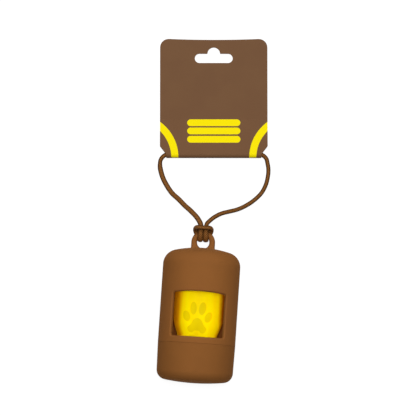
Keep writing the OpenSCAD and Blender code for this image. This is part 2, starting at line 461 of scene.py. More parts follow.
def eased(share: float) -> float:
    """Clamps a share to between 0 and 1 and eases it in and out."""
    share = min(1.0, max(0.0, share))
    return share * share * (3 - 2 * share)


def arc(center: tuple[float, float], r: float, start: float, end: float, steps: int) -> Outline:
    """Points of an arc in a plane.

    Args:
        center: The arc's centre.
        r: Its radius.
        start: The angle it starts at, in degrees.
        end: The angle it ends at, in degrees.
        steps: How many stretches it has.

    Returns:
        The points, both ends included.
    """
    turns = [math.radians(start + (end - start) * i / steps) for i in range(steps + 1)]
    return [(center[0] + r * math.cos(a), center[1] + r * math.sin(a)) for a in turns]


def round_end(r: float, crown: float, dome_r: float, edge_r: float, up: int = 1) -> Outline:
    """Half outline of a round end, from the straight wall to the crown on the axis.

    Args:
        r: Radius of the straight wall.
        crown: Where the crown lies along the axis.
        dome_r: Radius of the dome.
        edge_r: Radius of the edge between wall and dome.
        up: 1 where the end faces along the axis, -1 where it faces back.

    Returns:
        Points as (distance from the axis, place along the axis).
    """
    edge_x = r - edge_r
    rise = math.sqrt((dome_r - edge_r) ** 2 - edge_x**2)
    meet = math.degrees(math.atan2(rise, edge_x))
    edge = arc((edge_x, rise - dome_r), edge_r, 0, meet, EDGE_STEPS)
    dome = arc((0, -dome_r), dome_r, meet, 90, DOME_STEPS)[1:-1] + [(0.0, 0.0)]
    return [(x, crown + up * y) for x, y in edge + dome]


def curve_point(p0: Vector, p1: Vector, p2: Vector, p3: Vector, t: float) -> Vector:
    """Gives a point on a smooth curve that passes through four others.

    Args:
        p0: The point before the stretch.
        p1: Where the stretch starts.
        p2: Where it ends.
        p3: The point after it.
        t: The share of the way from p1 to p2.

    Returns:
        The point.
    """
    return 0.5 * (
        2 * p1 + (p2 - p0) * t + (2 * p0 - 5 * p1 + 4 * p2 - p3) * t**2
        + (3 * p1 - p0 - 3 * p2 + p3) * t**3
    )


def smooth_route(
    points: Sequence[Vector], step: float, before: Vector, after: Vector
) -> list[Vector]:
    """Runs a smooth curve through points and samples it at even steps.

    Args:
        points: The points that the curve passes, first and last included.
        step: About how far apart the samples are.
        before: Where the curve comes from, before the first point.
        after: Where it goes on to, after the last point.

    Returns:
        Samples from the first point to the last.
    """
    fineness, fewest = 6, 4
    ends = [before, *points, after]
    dense = [points[0].copy()]
    for near in zip(ends, ends[1:], ends[2:], ends[3:]):
        count = max(fewest, math.ceil(fineness * (near[2] - near[1]).length / step))
        dense += [curve_point(*near, i / count) for i in range(1, count + 1)]
    run = [0.0]
    for here, there in zip(dense, dense[1:]):
        run.append(run[-1] + (there - here).length)
    total = max(2, round(run[-1] / step))
    samples, i = [], 0
    for k in range(total + 1):
        goal = run[-1] * k / total
        while i < len(run) - 2 and run[i + 1] < goal:
            i += 1
        samples.append(dense[i].lerp(dense[i + 1], (goal - run[i]) / (run[i + 1] - run[i])))
    return samples


def route_length(points: Sequence[Vector]) -> float:
    """Length of a line through points."""
    return sum((after - before).length for before, after in zip(points, points[1:]))


# Shader helpers -------------------------------------------------------------


def srgb(red: int, green: int, blue: int) -> Tint:
    """Turns a screen colour into a linear colour for a shader, by the standard screen curve.

    Args:
        red: Red, from 0 to 255.
        green: Green, from 0 to 255.
        blue: Blue, from 0 to 255.

    Returns:
        Linear red, green and blue from 0 to 1, and full opacity.
    """
    parts = [c / 255 for c in (red, green, blue)]
    linear = [c / 12.92 if c <= 0.04045 else ((c + 0.055) / 1.055) ** 2.4 for c in parts]
    return (*linear, 1.0)


class Nodes:
    """Adds nodes to one node tree and links them in the same breath."""

    def __init__(self, tree: bpy.types.NodeTree) -> None:
        """Keeps the tree to work on."""
        self.tree = tree

    @classmethod
    def inside(cls, owner: bpy.types.Material | bpy.types.World) -> Nodes:
        """Gives the emptied node tree of a material or world.

        Args:
            owner: The material or world.

        Returns:
            What adds nodes to its tree.
        """
        owner.use_nodes = True
        owner.node_tree.nodes.clear()
        return cls(owner.node_tree)

    def fill(self, target: Socket, value: object) -> None:
        """Links a socket to an input, or sets the input's own value.

        Args:
            target: The input.
            value: A socket to link or a value to set.
        """
        if isinstance(value, Socket):
            self.tree.links.new(value, target)
        else:
            target.default_value = value

    def add(self, kind: str, *values: object, **named: object) -> bpy.types.Node:
        """Adds a node, with its settings made first and its inputs filled after them.

        Args:
            kind: The node's type name, without the ShaderNode before it.
            *values: Sockets to link or values to set, for the first inputs in their order.
            **named: Settings of the node, which start with a small letter, and further inputs by
                name, with _ for a space.

        Returns:
            The new node.
        """
        node = self.tree.nodes.new("ShaderNode" + kind)
        settings = [name for name in named if name[0].islower()]
        for name in settings:
            setattr(node, name, named.pop(name))
        for target, value in zip(node.inputs, values):
            self.fill(target, value)
        for name, value in named.items():
            self.fill(node.inputs[name.replace("_", " ")], value)
        return node

    def sum(self, operation: str, *values: object) -> Socket:
        """Gives the result of a math node, by Blender's name for the operation."""
        return self.add("Math", *values, operation=operation).outputs[0]

    def times(self, one: object, other: object) -> Socket:
        """Gives the product of two numbers."""
        return self.sum("MULTIPLY", one, other)

    def less(self, one: object, other: object) -> Socket:
        """Gives the first number less the second."""
        return self.sum("SUBTRACT", one, other)

    def fold(self, operation: str, values: Sequence[Socket]) -> Socket:
        """Takes several numbers into one, such as their minimum, by a math node for each pair."""
        return reduce(lambda one, other: self.sum(operation, one, other), values)

    def vector(self, operation: str, *values: object, **named: object) -> Socket:
        """Gives the vector that a vector math node works out."""
        return self.add("VectorMath", *values, operation=operation, **named).outputs["Vector"]

    def measure(self, operation: str, *values: object) -> Socket:
        """Gives the number that a vector math node works out."""
        return self.add("VectorMath", *values, operation=operation).outputs["Value"]

    def turned(self, vector: Socket, angle: object) -> Socket:
        """Turns a vector about Z by an angle in radians."""
        node = self.add("VectorRotate", Vector=vector, Angle=angle, rotation_type="Z_AXIS")
        return node.outputs[0]

    def apart(self, vector: Socket) -> tuple[Socket, ...]:
        """Splits a vector into its three numbers."""
        return tuple(self.add("SeparateXYZ", vector).outputs)

    def between(
        self, value: Socket, low: float, high: float, to_low: float = 0.0, to_high: float = 1.0
    ) -> Socket:
        """Maps a value smoothly from one range to another, clamped.

        Args:
            value: The value to map.
            low: Where the input range starts.
            high: Where the input range ends.
            to_low: What low becomes.
            to_high: What high becomes.

        Returns:
            The mapped value.
        """
        numbers = (value, low, high, to_low, to_high)
        return self.add("MapRange", *numbers, interpolation_type="SMOOTHSTEP").outputs[0]

    def mix(self, factor: object, first: object, second: object, blend: str = "MIX") -> Socket:
        """Mixes two colours.

        Args:
            factor: How much of the second shows.
            first: The first colour.
            second: The second colour.
            blend: Blender's name for how they are mixed.

        Returns:
            The mixed colour.
        """
        node = self.add("Mix", factor, data_type="RGBA", blend_type=blend)
        for target, colour in zip(node.inputs[6:8], (first, second)):
            self.fill(target, colour)
        return node.outputs[2]

    def ramp(self, value: Socket, stops: Sequence[tuple[float, int, int]]) -> Socket:
        """Turns a value from -1 to 1 into a colour by a ramp between stops.

        Args:
            value: The value to look up.
            stops: For each stop its value and the screen red and green there, with full blue.

        Returns:
            The colour.
        """
        node = self.add("ValToRGB", self.sum("MULTIPLY_ADD", value, 0.5, 0.5))
        elements = node.color_ramp.elements
        while len(elements) < len(stops):
            elements.new(0.5)
        for element, (at, red, green) in zip(elements, stops):
            element.position = (at + 1) / 2
            element.color = srgb(red, green, 255)
        return node.outputs[0]

    def place(self) -> Socket:
        """Gives the place on the object, in metres."""
        return self.add("TexCoord").outputs["Object"]

    def tinted(self, colour: Socket, tint: Socket) -> Socket:
        """Multiplies a colour by a tint."""
        return self.mix(1.0, colour, tint, "MULTIPLY")

    def stretched(self, vector: Socket, shrink: float) -> Socket:
        """Shrinks a place along Y, so that a pattern on it runs long that way."""
        return self.add("Mapping", Vector=vector, Scale=(1.0, shrink, 1.0)).outputs[0]

    def noise(self, vector: Socket, scale: float, detail: float = 3.0) -> Socket:
        """Gives the value of a noise texture, about 0.5 in the middle."""
        return self.add("TexNoise", Vector=vector, Scale=scale, Detail=detail).outputs[0]

    def seen(self) -> Socket:
        """Gives 1 to what is seen directly, in a reflection or through glass, else 0.

        Returns:
            The mask.
        """
        rays = self.add("LightPath").outputs
        kinds = ("Camera", "Glossy", "Transmission")
        return self.fold("MAXIMUM", [rays[f"Is {kind} Ray"] for kind in kinds])

    def output(self, kind: str, shader: Socket) -> None:
        """Links a shader to the output node of a material or world."""
        self.add("Output" + kind, Surface=shader)


class EffectGroup:
    """A shader node group that several finishes place with their own values."""

    name: str = ""
    takes: dict[str, str] = {}
    gives: dict[str, str] = {}

    def tree(self) -> bpy.types.NodeTree:
        """Gives the group, built the first time it is asked for.

        Returns:
            The group's node tree.
        """
        if self.name in bpy.data.node_groups:
            return bpy.data.node_groups[self.name]
        tree = bpy.data.node_groups.new(self.name, "ShaderNodeTree")
        for way, sockets in (("INPUT", self.takes), ("OUTPUT", self.gives)):
            for label, kind in sockets.items():
                tree.interface.new_socket(label, in_out=way, socket_type="NodeSocket" + kind)
        source = tree.nodes.new("NodeGroupInput")
        target = tree.nodes.new("NodeGroupOutput")
        nodes = Nodes(tree)
        results = self.build(nodes, {s.name: s for s in source.outputs if s.name})
        for label, result in results.items():
            nodes.fill(target.inputs[label], result)
        return tree

    def placed(self, nodes: Nodes, **inputs: object) -> bpy.types.Node:
        """Places the group in a material and fills its inputs, by name with _ for a space."""
        return nodes.add("Group", node_tree=self.tree(), **inputs)

    def build(self, nodes: Nodes, given: dict[str, Socket]) -> dict[str, Socket]:
        """Builds the inside of the group.

        Args:
            nodes: Where the nodes go.
            given: The group's inputs by name.

        Returns:
            What each output gives, by name.
        """
        raise NotImplementedError


class FineGrain(EffectGroup):
    """Fine surface grain with slow cloudiness, for moulded rubber and board."""

    name = "fine_grain"
    takes = {"Vector": "Vector", "Grain Scale": "Float", "Cloud Scale": "Float"}
    gives = {"Grain": "Float", "Cloud": "Float"}

    def build(self, nodes: Nodes, given: dict[str, Socket]) -> dict[str, Socket]:
        """Lays a small noise for grain and a large one for clouds.

        Args:
            nodes: Where the nodes go.
            given: The group's inputs by name.

        Returns:
            The grain and the clouds.
        """
        at, grain_scale, cloud_scale = given.values()
        grain = nodes.add("TexNoise", Vector=at, Scale=grain_scale, Detail=4.0, Roughness=0.6)
        return {"Grain": grain.outputs[0], "Cloud": nodes.noise(at, cloud_scale, detail=2.0)}


class Mark(EffectGroup):
    """Distance from a point to a shape drawn in a plane, negative inside the shape."""

    takes = {"Point": "Vector", "Centre": "Vector"}
    gives = {"Distance": "Float"}

    def build(self, nodes: Nodes, given: dict[str, Socket]) -> dict[str, Socket]:
        """Measures the distance from the point and centre and the shape's own sizes."""
        return {"Distance": self.distance(nodes, *given.values())}

    def distance(self, nodes: Nodes, point: Socket, centre: Socket, *sizes: Socket) -> Socket:
        """Lays the nodes that measure the distance.

        Args:
            nodes: Where the nodes go.
            point: The point to measure from.
            centre: The shape's centre.
            *sizes: The shape's own sizes, in the order in which it takes them.

        Returns:
            The distance.
        """
        raise NotImplementedError


class OvalMark(Mark):
    """Distance to a turned oval, in about the plane's own unit."""

    name = "oval_mark"
    takes = Mark.takes | {"Half Sizes": "Vector", "Turn": "Float"}

    def distance(self, nodes: Nodes, point: Socket, centre: Socket, *sizes: Socket) -> Socket:
        """Measures from the centre in the oval's own turned and stretched frame.

        Args:
            nodes: Where the nodes go.
            point: The point to measure from.
            centre: The oval's centre.
            *sizes: Its half sizes and its turn.

        Returns:
            The distance.
        """
        halves, turn = sizes
        offset = nodes.turned(nodes.vector("SUBTRACT", point, centre), turn)
        inside = nodes.less(nodes.measure("LENGTH", nodes.vector("DIVIDE", offset, halves)), 1.0)
        half_w, half_h, _ = nodes.apart(halves)
        return nodes.times(inside, nodes.times(nodes.sum("ADD", half_w, half_h), 0.5))


class BarMark(Mark):
    """Distance to a straight bar with round ends along the plane's X."""

    name = "bar_mark"
    takes = Mark.takes | {"Half Length": "Float", "Half Height": "Float"}

    def distance(self, nodes: Nodes, point: Socket, centre: Socket, *sizes: Socket) -> Socket:
        """Measures from the nearest point of the bar's middle line.

        Args:
            nodes: Where the nodes go.
            point: The point to measure from.
            centre: The bar's centre.
            *sizes: Its half length and half height.

        Returns:
            The distance.
        """
        half_length, half_height = sizes
        across, up, _ = nodes.apart(nodes.vector("SUBTRACT", point, centre))
        reach = nodes.less(half_length, half_height)
        past = nodes.sum("MAXIMUM", nodes.less(nodes.sum("ABSOLUTE", across), reach), 0.0)
        far = nodes.sum("ADD", nodes.times(past, past), nodes.times(up, up))
        return nodes.less(nodes.sum("SQRT", far), half_height)


class RingMark(Mark):
    """Distance to a ring band round a centre."""

    name = "ring_mark"
    takes = Mark.takes | {"Radius": "Float", "Half Width": "Float"}

    def distance(self, nodes: Nodes, point: Socket, centre: Socket, *sizes: Socket) -> Socket:
        """Measures across the band from its middle radius.

        Args:
            nodes: Where the nodes go.
            point: The point to measure from.
            centre: The ring's centre.
            *sizes: Its middle radius and half the width of its band.

        Returns:
            The distance.
        """
        radius, half_width = sizes
        off = nodes.less(nodes.measure("DISTANCE", point, centre), radius)
        return nodes.less(nodes.sum("ABSOLUTE", off), half_width)


@dataclass(frozen=True)
class Finish:
    """A material that dresses pieces. Each finish says its title and lays its own nodes."""

    title: str = ""
    roughness: float = 0.5
    gloss: float = 0.5
    bump_strength: float = 0.5
    bump_depth: float = 0.05 * MM
    grain_scale: float = 4000.0
    cloud_scale: float = 80.0

    def material(self) -> bpy.types.Material:
        """Gives the material, made the first time it is asked for.

        Returns:
            The material.
        """
        if self.title not in bpy.data.materials:
            nodes = Nodes.inside(bpy.data.materials.new(self.title))
            nodes.output("Material", self.surface(nodes))
        return bpy.data.materials[self.title]

    def surface(self, nodes: Nodes) -> Socket:
        """Lays the nodes and gives the shader that the surface uses."""
        raise NotImplementedError

    def grain(self, nodes: Nodes, place: Socket) -> tuple[Socket, Socket]:
        """Gives the surface's fine grain and its slow cloudiness."""
        scales = {"Grain_Scale": self.grain_scale, "Cloud_Scale": self.cloud_scale}
        return tuple(FineGrain().placed(nodes, Vector=place, **scales).outputs)

    def skin(self, nodes: Nodes, colour: Socket, height: Socket, **named: object) -> Socket:
        """Adds the surface shader, with the finish's own bump, roughness and gloss.

        Args:
            nodes: Where the nodes go.
            colour: The surface's colour.
            height: The height of the bump, from 0 to 1.
            **named: Further settings and inputs of the shader.

        Returns:
            The shader.
        """
        bump = nodes.add(
            "Bump", Strength=self.bump_strength, Distance=self.bump_depth, Height=height
        )
        named = {"Roughness": self.roughness, "Specular_IOR_Level": self.gloss} | named
        return nodes.add(
            "BsdfPrincipled", Base_Color=colour, Normal=bump.outputs[0], **named
        ).outputs[0]

    def dress(self, obj: Object) -> None:
        """Puts the material on all of an object.

        Args:
            obj: The piece or CAD node to dress.
        """
        obj.data.materials.clear()
        obj.data.materials.append(self.material())
        log.info("%s is dressed in %s", obj.name, self.title)


@dataclass(frozen=True)
class SoftSilicone(Finish):
    """Matte moulded silicone in one through-dyed brown."""

    title: str = "soft_silicone"
    base: Tint = srgb(140, 89, 44)
    deep: Tint = srgb(137, 87, 43)
    roughness: float = 0.7
    rougher: float = 0.76
    gloss: float = 0.03
    sheen: float = 0.12
    sheen_tint: Tint = srgb(214, 150, 92)
    grain_scale: float = 5200.0
    cloud_scale: float = 90.0
    clouds: Range = (0.3, 0.7)
    bump_depth: float = 0.012 * MM

    def surface(self, nodes: Nodes) -> Socket:
        """Clouds the dye a little and roughens the skin with the mould's fine grain.

        Args:
            nodes: Where the nodes go.

        Returns:
            The shader.
        """
        grain, cloud = self.grain(nodes, nodes.place())
        return self.skin(
            nodes, nodes.mix(nodes.between(cloud, *self.clouds), self.deep, self.base), grain,
            Roughness=nodes.between(cloud, *self.clouds, self.roughness, self.rougher),
            Sheen_Weight=self.sheen, Sheen_Tint=self.sheen_tint,
        )


@dataclass(frozen=True)
class BagFilm(Finish):
    """Thin dyed plastic film, wound tight, with a painted glow that stands in for the light it lets through."""

    title: str = "bag_film"
    base: Tint = srgb(255, 230, 0)
    deep: Tint = srgb(254, 224, 0)
    # painted shade: the amber the film takes where it is closed in from the light
    shaded: Tint = srgb(212, 143, 0)
    roughness: float = 0.55
    gloss: float = 0.02
    # painted glow: the film emits part of its own colour, which stands in for light that passes through it
    glow: float = 0.24
    # painted shade by which way the film faces across the roll: its flanks darker, and its left flank darker still as
    # a painted shadow of the window's left edge
    flank_tints: tuple[tuple[float, int, int], ...] = (
        (-0.96, 202, 178), (-0.89, 187, 148), (-0.81, 193, 152), (-0.72, 213, 204),
        (-0.65, 227, 239), (-0.5, 240, 253), (-0.3, 240, 250), (0.0, 231, 237), (0.3, 240, 249),
        (0.45, 244, 255), (0.55, 253, 255), (0.79, 255, 255), (0.84, 236, 224), (0.95, 190, 148),
    )
    light_reach: float = 9 * MM
    light_spread: tuple[float, float, float] = (1.0, 1.0, 0.3)
    # how far the painted recess shade looks for what closes the film in, and over which openness it fades
    shade_reach: float = 10 * MM
    shade_range: Range = (0.2, 0.6)
    band_scale: float = 220.0
    band_stretch: float = 0.12
    bands: Range = (0.35, 0.75)
    ridge_scale: float = 1400.0
    ridge_stretch: float = 0.06
    bump_strength: float = 0.6
    bump_depth: float = 0.03 * MM

    def colour(self, nodes: Nodes, place: Socket) -> Socket:
        """Gives the film's colour, a little deeper in slow bands along the roll."""
        bands = nodes.noise(nodes.stretched(place, self.band_stretch), self.band_scale)
        return nodes.mix(nodes.between(bands, *self.bands), self.base, self.deep)

    def surface(self, nodes: Nodes) -> Socket:
        """Paints shade on the film's flanks and where it is closed in from the light, and lets that colour glow as
        painted light, over fine lines that run along it.

        Args:
            nodes: Where the nodes go.

        Returns:
            The shader.
        """
        place = nodes.place()
        stretched = nodes.stretched(place, self.ridge_stretch)
        lines = nodes.noise(stretched, self.ridge_scale, detail=2.0)
        # painted shade that follows how far the surface faces sideways in the world
        sideways = nodes.apart(nodes.add("NewGeometry").outputs["Normal"])[0]
        tint = nodes.ramp(sideways, self.flank_tints)
        # painted shade in recesses: where little is open to light, the colour turns to the shaded amber
        open_to_light = nodes.add("AmbientOcclusion", Distance=self.shade_reach).outputs["AO"]
        lit = nodes.between(open_to_light, *self.shade_range)
        colour = nodes.mix(lit, self.shaded, self.colour(nodes, place))
        colour = nodes.tinted(colour, tint)
        # the painted glow emits the film's colour, painted shade included
        return self.skin(
            nodes, colour, lines, Emission_Color=colour, Emission_Strength=self.glow,
            subsurface_method="BURLEY", Subsurface_Weight=1.0,
            Subsurface_Radius=self.light_spread, Subsurface_Scale=self.light_reach,
        )


@dataclass(frozen=True)
class PrintedFilm(BagFilm):
    """The outermost bag's film, with a paw print in a slightly darker yellow.

    The ovals of the paw are x, y, half width and half height in millimetres, and turn in degrees.
    """

    title: str = "printed_film"
    ink: Tint = srgb(231, 206, 2)
    roll_axis: tuple[float, float, float] = (0.0, 0.0, ROLL_AXIS_Z)
    roll_r: float = 15.4 * MM
    middle: tuple[float, float] = (-0.5, 0.0)
    toes: tuple[Oval, ...] = (
        (-2.8, -1.4, 2.0, 4.0, -3.0),
        (2.8, -1.4, 2.2, 4.0, 8.0),
        (-7.1, -6.35, 2.35, 3.4, -22.0),
        (7.0, -6.55, 2.3, 3.4, 26.0),
    )
    pads: tuple[Oval, ...] = (
        (0.0, -10.5, 3.2, 3.1, 0.0),
        (0.0, -12.5, 4.6, 2.5, 0.0),
        (-4.6, -14.4, 2.4, 1.9, 20.0),
        (4.5, -14.7, 2.4, 1.9, -20.0),
    )
    pad_blend: float = 2.8
    edge: float = 0.16

    def colour(self, nodes: Nodes, place: Socket) -> Socket:
        """Prints the paw on the film's own colour.

        Args:
            nodes: Where the nodes go.
            place: The place on the roll.

        Returns:
            The colour.
        """
        x, y, z = nodes.apart(nodes.vector("SUBTRACT", place, self.roll_axis))
        round_way = nodes.times(nodes.sum("ARCTAN2", x, z), self.roll_r / MM)
        along = nodes.times(y, 1 / MM)
        point = nodes.add("CombineXYZ", X=round_way, Y=along).outputs[0]
        toes = [self.mark(nodes, point, toe) for toe in self.toes]
        pad, *lobes = [self.mark(nodes, point, lobe) for lobe in self.pads]
        for lobe in lobes:
            pad = nodes.sum("SMOOTH_MIN", pad, lobe, self.pad_blend)
        paw = nodes.between(nodes.fold("MINIMUM", [pad, *toes]), -self.edge, self.edge, 1.0, 0.0)
        return nodes.mix(paw, BagFilm.colour(self, nodes, place), self.ink)

    def mark(self, nodes: Nodes, point: Socket, oval: Oval) -> Socket:
        """Gives the distance to one oval of the paw.

        Args:
            nodes: Where the nodes go.
            point: The place on the film, in millimetres round the roll and along it.
            oval: The oval.

        Returns:
            The distance.
        """
        x, y, half_w, half_h, turn = oval
        return OvalMark().placed(
            nodes, Point=point, Centre=(x + self.middle[0], y + self.middle[1], 0.0),
            Half_Sizes=(half_w, half_h, 1.0), Turn=math.radians(turn),
        ).outputs[0]


@dataclass(frozen=True)
class RawCardboard(Finish):
    """Spiral-wound grey-brown tube board."""

    title: str = "raw_cardboard"
    base: Tint = srgb(186, 152, 112)
    fleck: Tint = srgb(150, 118, 82)
    roughness: float = 0.9
    grain_scale: float = 3000.0
    cloud_scale: float = 300.0
    flecks: Range = (0.4, 0.7)
    spiral_lead: float = 22 * MM
    joint_w: float = 0.03
    joint_shade: float = 0.6
    bump_strength: float = 0.4

    def surface(self, nodes: Nodes) -> Socket:
        """Mixes paper fibres into the board, with the spiral joint as a darker line.

        Args:
            nodes: Where the nodes go.

        Returns:
            The shader.
        """
        place = nodes.place()
        grain, _ = self.grain(nodes, place)
        x, y, z = nodes.apart(nodes.vector("SUBTRACT", place, (0.0, 0.0, ROLL_AXIS_Z)))
        turn = nodes.sum("DIVIDE", nodes.sum("ARCTAN2", x, z), math.tau)
        lead = nodes.sum("FRACT", nodes.less(nodes.sum("DIVIDE", y, self.spiral_lead), turn))
        joint = nodes.times(nodes.between(lead, 0.0, self.joint_w, 1.0, 0.0), self.joint_shade)
        fibres = nodes.mix(nodes.between(grain, *self.flecks), self.base, self.fleck)
        return self.skin(nodes, nodes.mix(joint, fibres, self.fleck), grain)


@dataclass(frozen=True)
class CordBraid(Finish):
    """Round braided cord in brown polyester. Its UV map runs round the cord and along it."""

    title: str = "cord_braid"
    base: Tint = srgb(140, 90, 43)
    worn: Tint = srgb(148, 97, 47)
    wear: Range = (0.3, 0.7)
    # painted shade on the cord's flanks, which turn away from the light above
    flank: Tint = srgb(160, 156, 150)
    flank_range: Range = (0.15, 0.75)
    # painted shade in the grooves between the strands
    groove: Tint = srgb(50, 28, 10)
    groove_range: Range = (0.25, 0.8)
    strands: float = 8.0
    dive: float = 0.6
    fuzz_scale: float = 2600.0
    roughness: float = 0.7
    gloss: float = 0.05
    bump_strength: float = 0.8
    bump_depth: float = 0.16 * MM

    def surface(self, nodes: Nodes) -> Socket:
        """Dyes the braid and wears its strands, with painted shade in its grooves and on its flanks.

        Args:
            nodes: Where the nodes go.

        Returns:
            The shader.
        """
        height = self.braid(nodes)
        fuzz = nodes.noise(nodes.place(), self.fuzz_scale)
        yarn = nodes.mix(nodes.between(fuzz, *self.wear), self.base, self.worn)
        # painted shade where the braid lies low
        colour = nodes.mix(nodes.between(height, *self.groove_range), self.groove, yarn)
        # painted shade on the flanks, where the way round the cord stands steep
        round_it = nodes.add("Tangent", direction_type="UV_MAP").outputs[0]
        steep = nodes.sum("ABSOLUTE", nodes.apart(round_it)[2])
        flank_shade = nodes.mix(nodes.between(steep, *self.flank_range), WHITE, self.flank)
        return self.skin(nodes, nodes.tinted(colour, flank_shade), height)

    def braid(self, nodes: Nodes) -> Socket:
        """Crosses two sets of strands that climb the cord to the left and to the right.

        Args:
            nodes: Where the nodes go.

        Returns:
            The height of the strands.
        """
        across, along, _ = nodes.apart(nodes.add("UVMap").outputs[0])
        rows, columns = nodes.times(along, self.strands), nodes.times(across, self.strands)
        climbs = [nodes.sum("ADD", columns, rows), nodes.less(columns, rows)]
        over = nodes.sum("PINGPONG", nodes.sum("FLOOR", climbs[0]), 1.0)
        strands = []
        for climb, on_top in zip(climbs, (over, nodes.less(1.0, over))):
            ridge = nodes.sum("ABSOLUTE", nodes.sum("SINE", nodes.times(climb, math.pi)))
            lift = nodes.sum("MULTIPLY_ADD", on_top, 1 - self.dive, self.dive)
            strands.append(nodes.times(ridge, lift))
        return nodes.fold("MAXIMUM", strands)


@dataclass(frozen=True)
class ShrinkSleeve(Finish):
    """Dark heat-shrunk tube that joins the cord's ends."""

    title: str = "shrink_sleeve"
    base: Tint = srgb(38, 34, 32)
    pale: Tint = srgb(48, 44, 41)
    ripples: Range = (0.3, 0.7)
    ripple_scale: float = 900.0
    roughness: float = 0.45
    bump_strength: float = 0.4

    def surface(self, nodes: Nodes) -> Socket:
        """Ripples the tube a little where it has shrunk.

        Args:
            nodes: Where the nodes go.

        Returns:
            The shader.
        """
        ripple = nodes.noise(nodes.place(), self.ripple_scale)
        shade = nodes.mix(nodes.between(ripple, *self.ripples), self.base, self.pale)
        return self.skin(nodes, shade, ripple)


@dataclass(frozen=True)
class PrintedBoard(Finish):
    """Brown printed card board with plain yellow bars and two yellow corner bands.

    The bars and bands are in millimetres, in the card's own frame.
    """

    title: str = "printed_board"
    brown: Tint = srgb(112, 80, 55)
    brown_worn: Tint = srgb(114, 82, 56)
    wear: Range = (0.35, 0.65)
    yellow: Tint = srgb(246, 226, 0)
    # board core on the cut edges, and painted shade on the rounding of the fold: both go where the card turns away
    # from facing up or down
    core: Tint = srgb(96, 70, 48)
    face_range: Range = (0.3, 0.5)
    roughness: float = 0.62
    gloss: float = 0.05
    grain_scale: float = 4200.0
    cloud_scale: float = 60.0
    bump_strength: float = 0.25
    bump_depth: float = 0.02 * MM
    card_at: tuple[float, float, float] = (3 * MM, 97.5 * MM, 2.35 * MM)
    card_turn: float = 3.75
    bar_rows: tuple[float, ...] = (20.2, 14.9, 9.5)
    bar_half: tuple[float, float] = (16.8, 2.18)
    band_centre: tuple[float, float] = (51.0, -2.35)
    band_r: float = 26.45
    band_half: float = 2.25
    edge: float = 0.08

    def surface(self, nodes: Nodes) -> Socket:
        """Prints the yellow marks on the card's faces; where it turns away from facing up or down it takes the dark
        board core, real on its cut edges and painted shade on its fold.

        Args:
            nodes: Where the nodes go.

        Returns:
            The shader.
        """
        place = nodes.place()
        on_card = nodes.turned(
            nodes.vector("SUBTRACT", place, self.card_at), -math.radians(self.card_turn)
        )
        x, y, _ = nodes.apart(nodes.vector("SCALE", on_card, Scale=1 / MM))
        point = nodes.add("CombineXYZ", X=x, Y=y).outputs[0]
        grain, cloud = self.grain(nodes, place)
        brown = nodes.mix(nodes.between(cloud, *self.wear), self.brown, self.brown_worn)
        printed = nodes.mix(self.ink(nodes, point), brown, self.yellow)
        # dark where the card faces sideways: the real board core on its cut edges, painted shade on its fold
        facing = nodes.apart(nodes.add("NewGeometry").outputs["Normal"])[2]
        face = nodes.between(nodes.sum("ABSOLUTE", facing), *self.face_range)
        return self.skin(nodes, nodes.mix(face, self.core, printed), grain)

    def ink(self, nodes: Nodes, point: Socket) -> Socket:
        """Gives 1 where the card is printed yellow and 0 where it isn't.

        Args:
            nodes: Where the nodes go.
            point: The place on the card, in millimetres.

        Returns:
            The mask.
        """
        bars = [
            BarMark().placed(
                nodes, Point=point, Centre=(0.0, row, 0.0),
                Half_Length=self.bar_half[0], Half_Height=self.bar_half[1],
            )
            for row in self.bar_rows
        ]
        bands = [
            RingMark().placed(
                nodes, Point=point, Radius=self.band_r, Half_Width=self.band_half,
                Centre=(side.value * self.band_centre[0], self.band_centre[1], 0.0),
            )
            for side in Side
        ]
        nearest = nodes.fold("MINIMUM", [mark.outputs[0] for mark in (*bars, *bands)])
        return nodes.between(nearest, -self.edge, self.edge, 1.0, 0.0)


@dataclass(frozen=True)
class WhiteFloor(Finish):
    """Floor that looks white and keeps only a faint shadow."""

    title: str = "white_floor"
    tone: Tint = srgb(118, 118, 118)
    glow: float = 0.9

    def surface(self, nodes: Nodes) -> Socket:
        """Lights the floor up where it is seen, and leaves it plain for the light that falls.

        Args:
            nodes: Where the nodes go.

        Returns:
            The shader.
        """
        plain = nodes.add("BsdfDiffuse", Color=self.tone).outputs[0]
        glow = nodes.add("Emission", Color=WHITE, Strength=self.glow).outputs[0]
        bright = nodes.add("AddShader", plain, glow).outputs[0]
        return nodes.add("MixShader", nodes.seen(), plain, bright).outputs[0]


# Dispenser ------------------------------------------------------------------


def finished(shell: Object, finish: Finish, flats: bool = False) -> Object:
    """Turns a closed shell's faces outwards, smooths it and dresses it.

    Args:
        shell: The closed shell.
        finish: What it is dressed in.
        flats: Whether its large faces keep their own shade beside small ones.

    Returns:
        The same object.
    """
    face_outwards(shell)
    smooth(shell)
    if flats:
        apply_modifier(shell, "WEIGHTED_NORMAL", mode="FACE_AREA", weight=80, keep_sharp=True)
    finish.dress(shell)
    return shell


@dataclass(frozen=True)
class BodyPlan:
    """Where the dispenser's body lies, taken from the frame, and what sleeve and cup share."""

    body_r: float
    axis_z: float
    base_y: float
    seam_y: float
    neck_y: float
    eye_top_y: float
    steps: int = 144
    lip_r: float = 0.15 * MM
    lip_t: float = 1.5 * MM
    lip_steps: int = 5
    fillet_steps: int = 3

    @classmethod
    def from_frame(cls) -> BodyPlan:
        """Reads the body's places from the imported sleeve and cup.

        Returns:
            The plan.
        """
        sleeve_low, sleeve_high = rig.box("shell")
        cup_low, cup_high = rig.box("end_cap")
        return cls(
            body_r=(sleeve_high.x - sleeve_low.x) / 2,
            axis_z=(sleeve_high.z + sleeve_low.z) / 2,
            base_y=cup_low.y,
            seam_y=cup_high.y,
            neck_y=sleeve_low.y,
            eye_top_y=sleeve_high.y,
        )

    def turned(self, name: str, outline: Outline) -> Object:
        """Turns an outline once round the body's axis."""
        return turned(name, outline, (0, self.axis_z), self.steps)


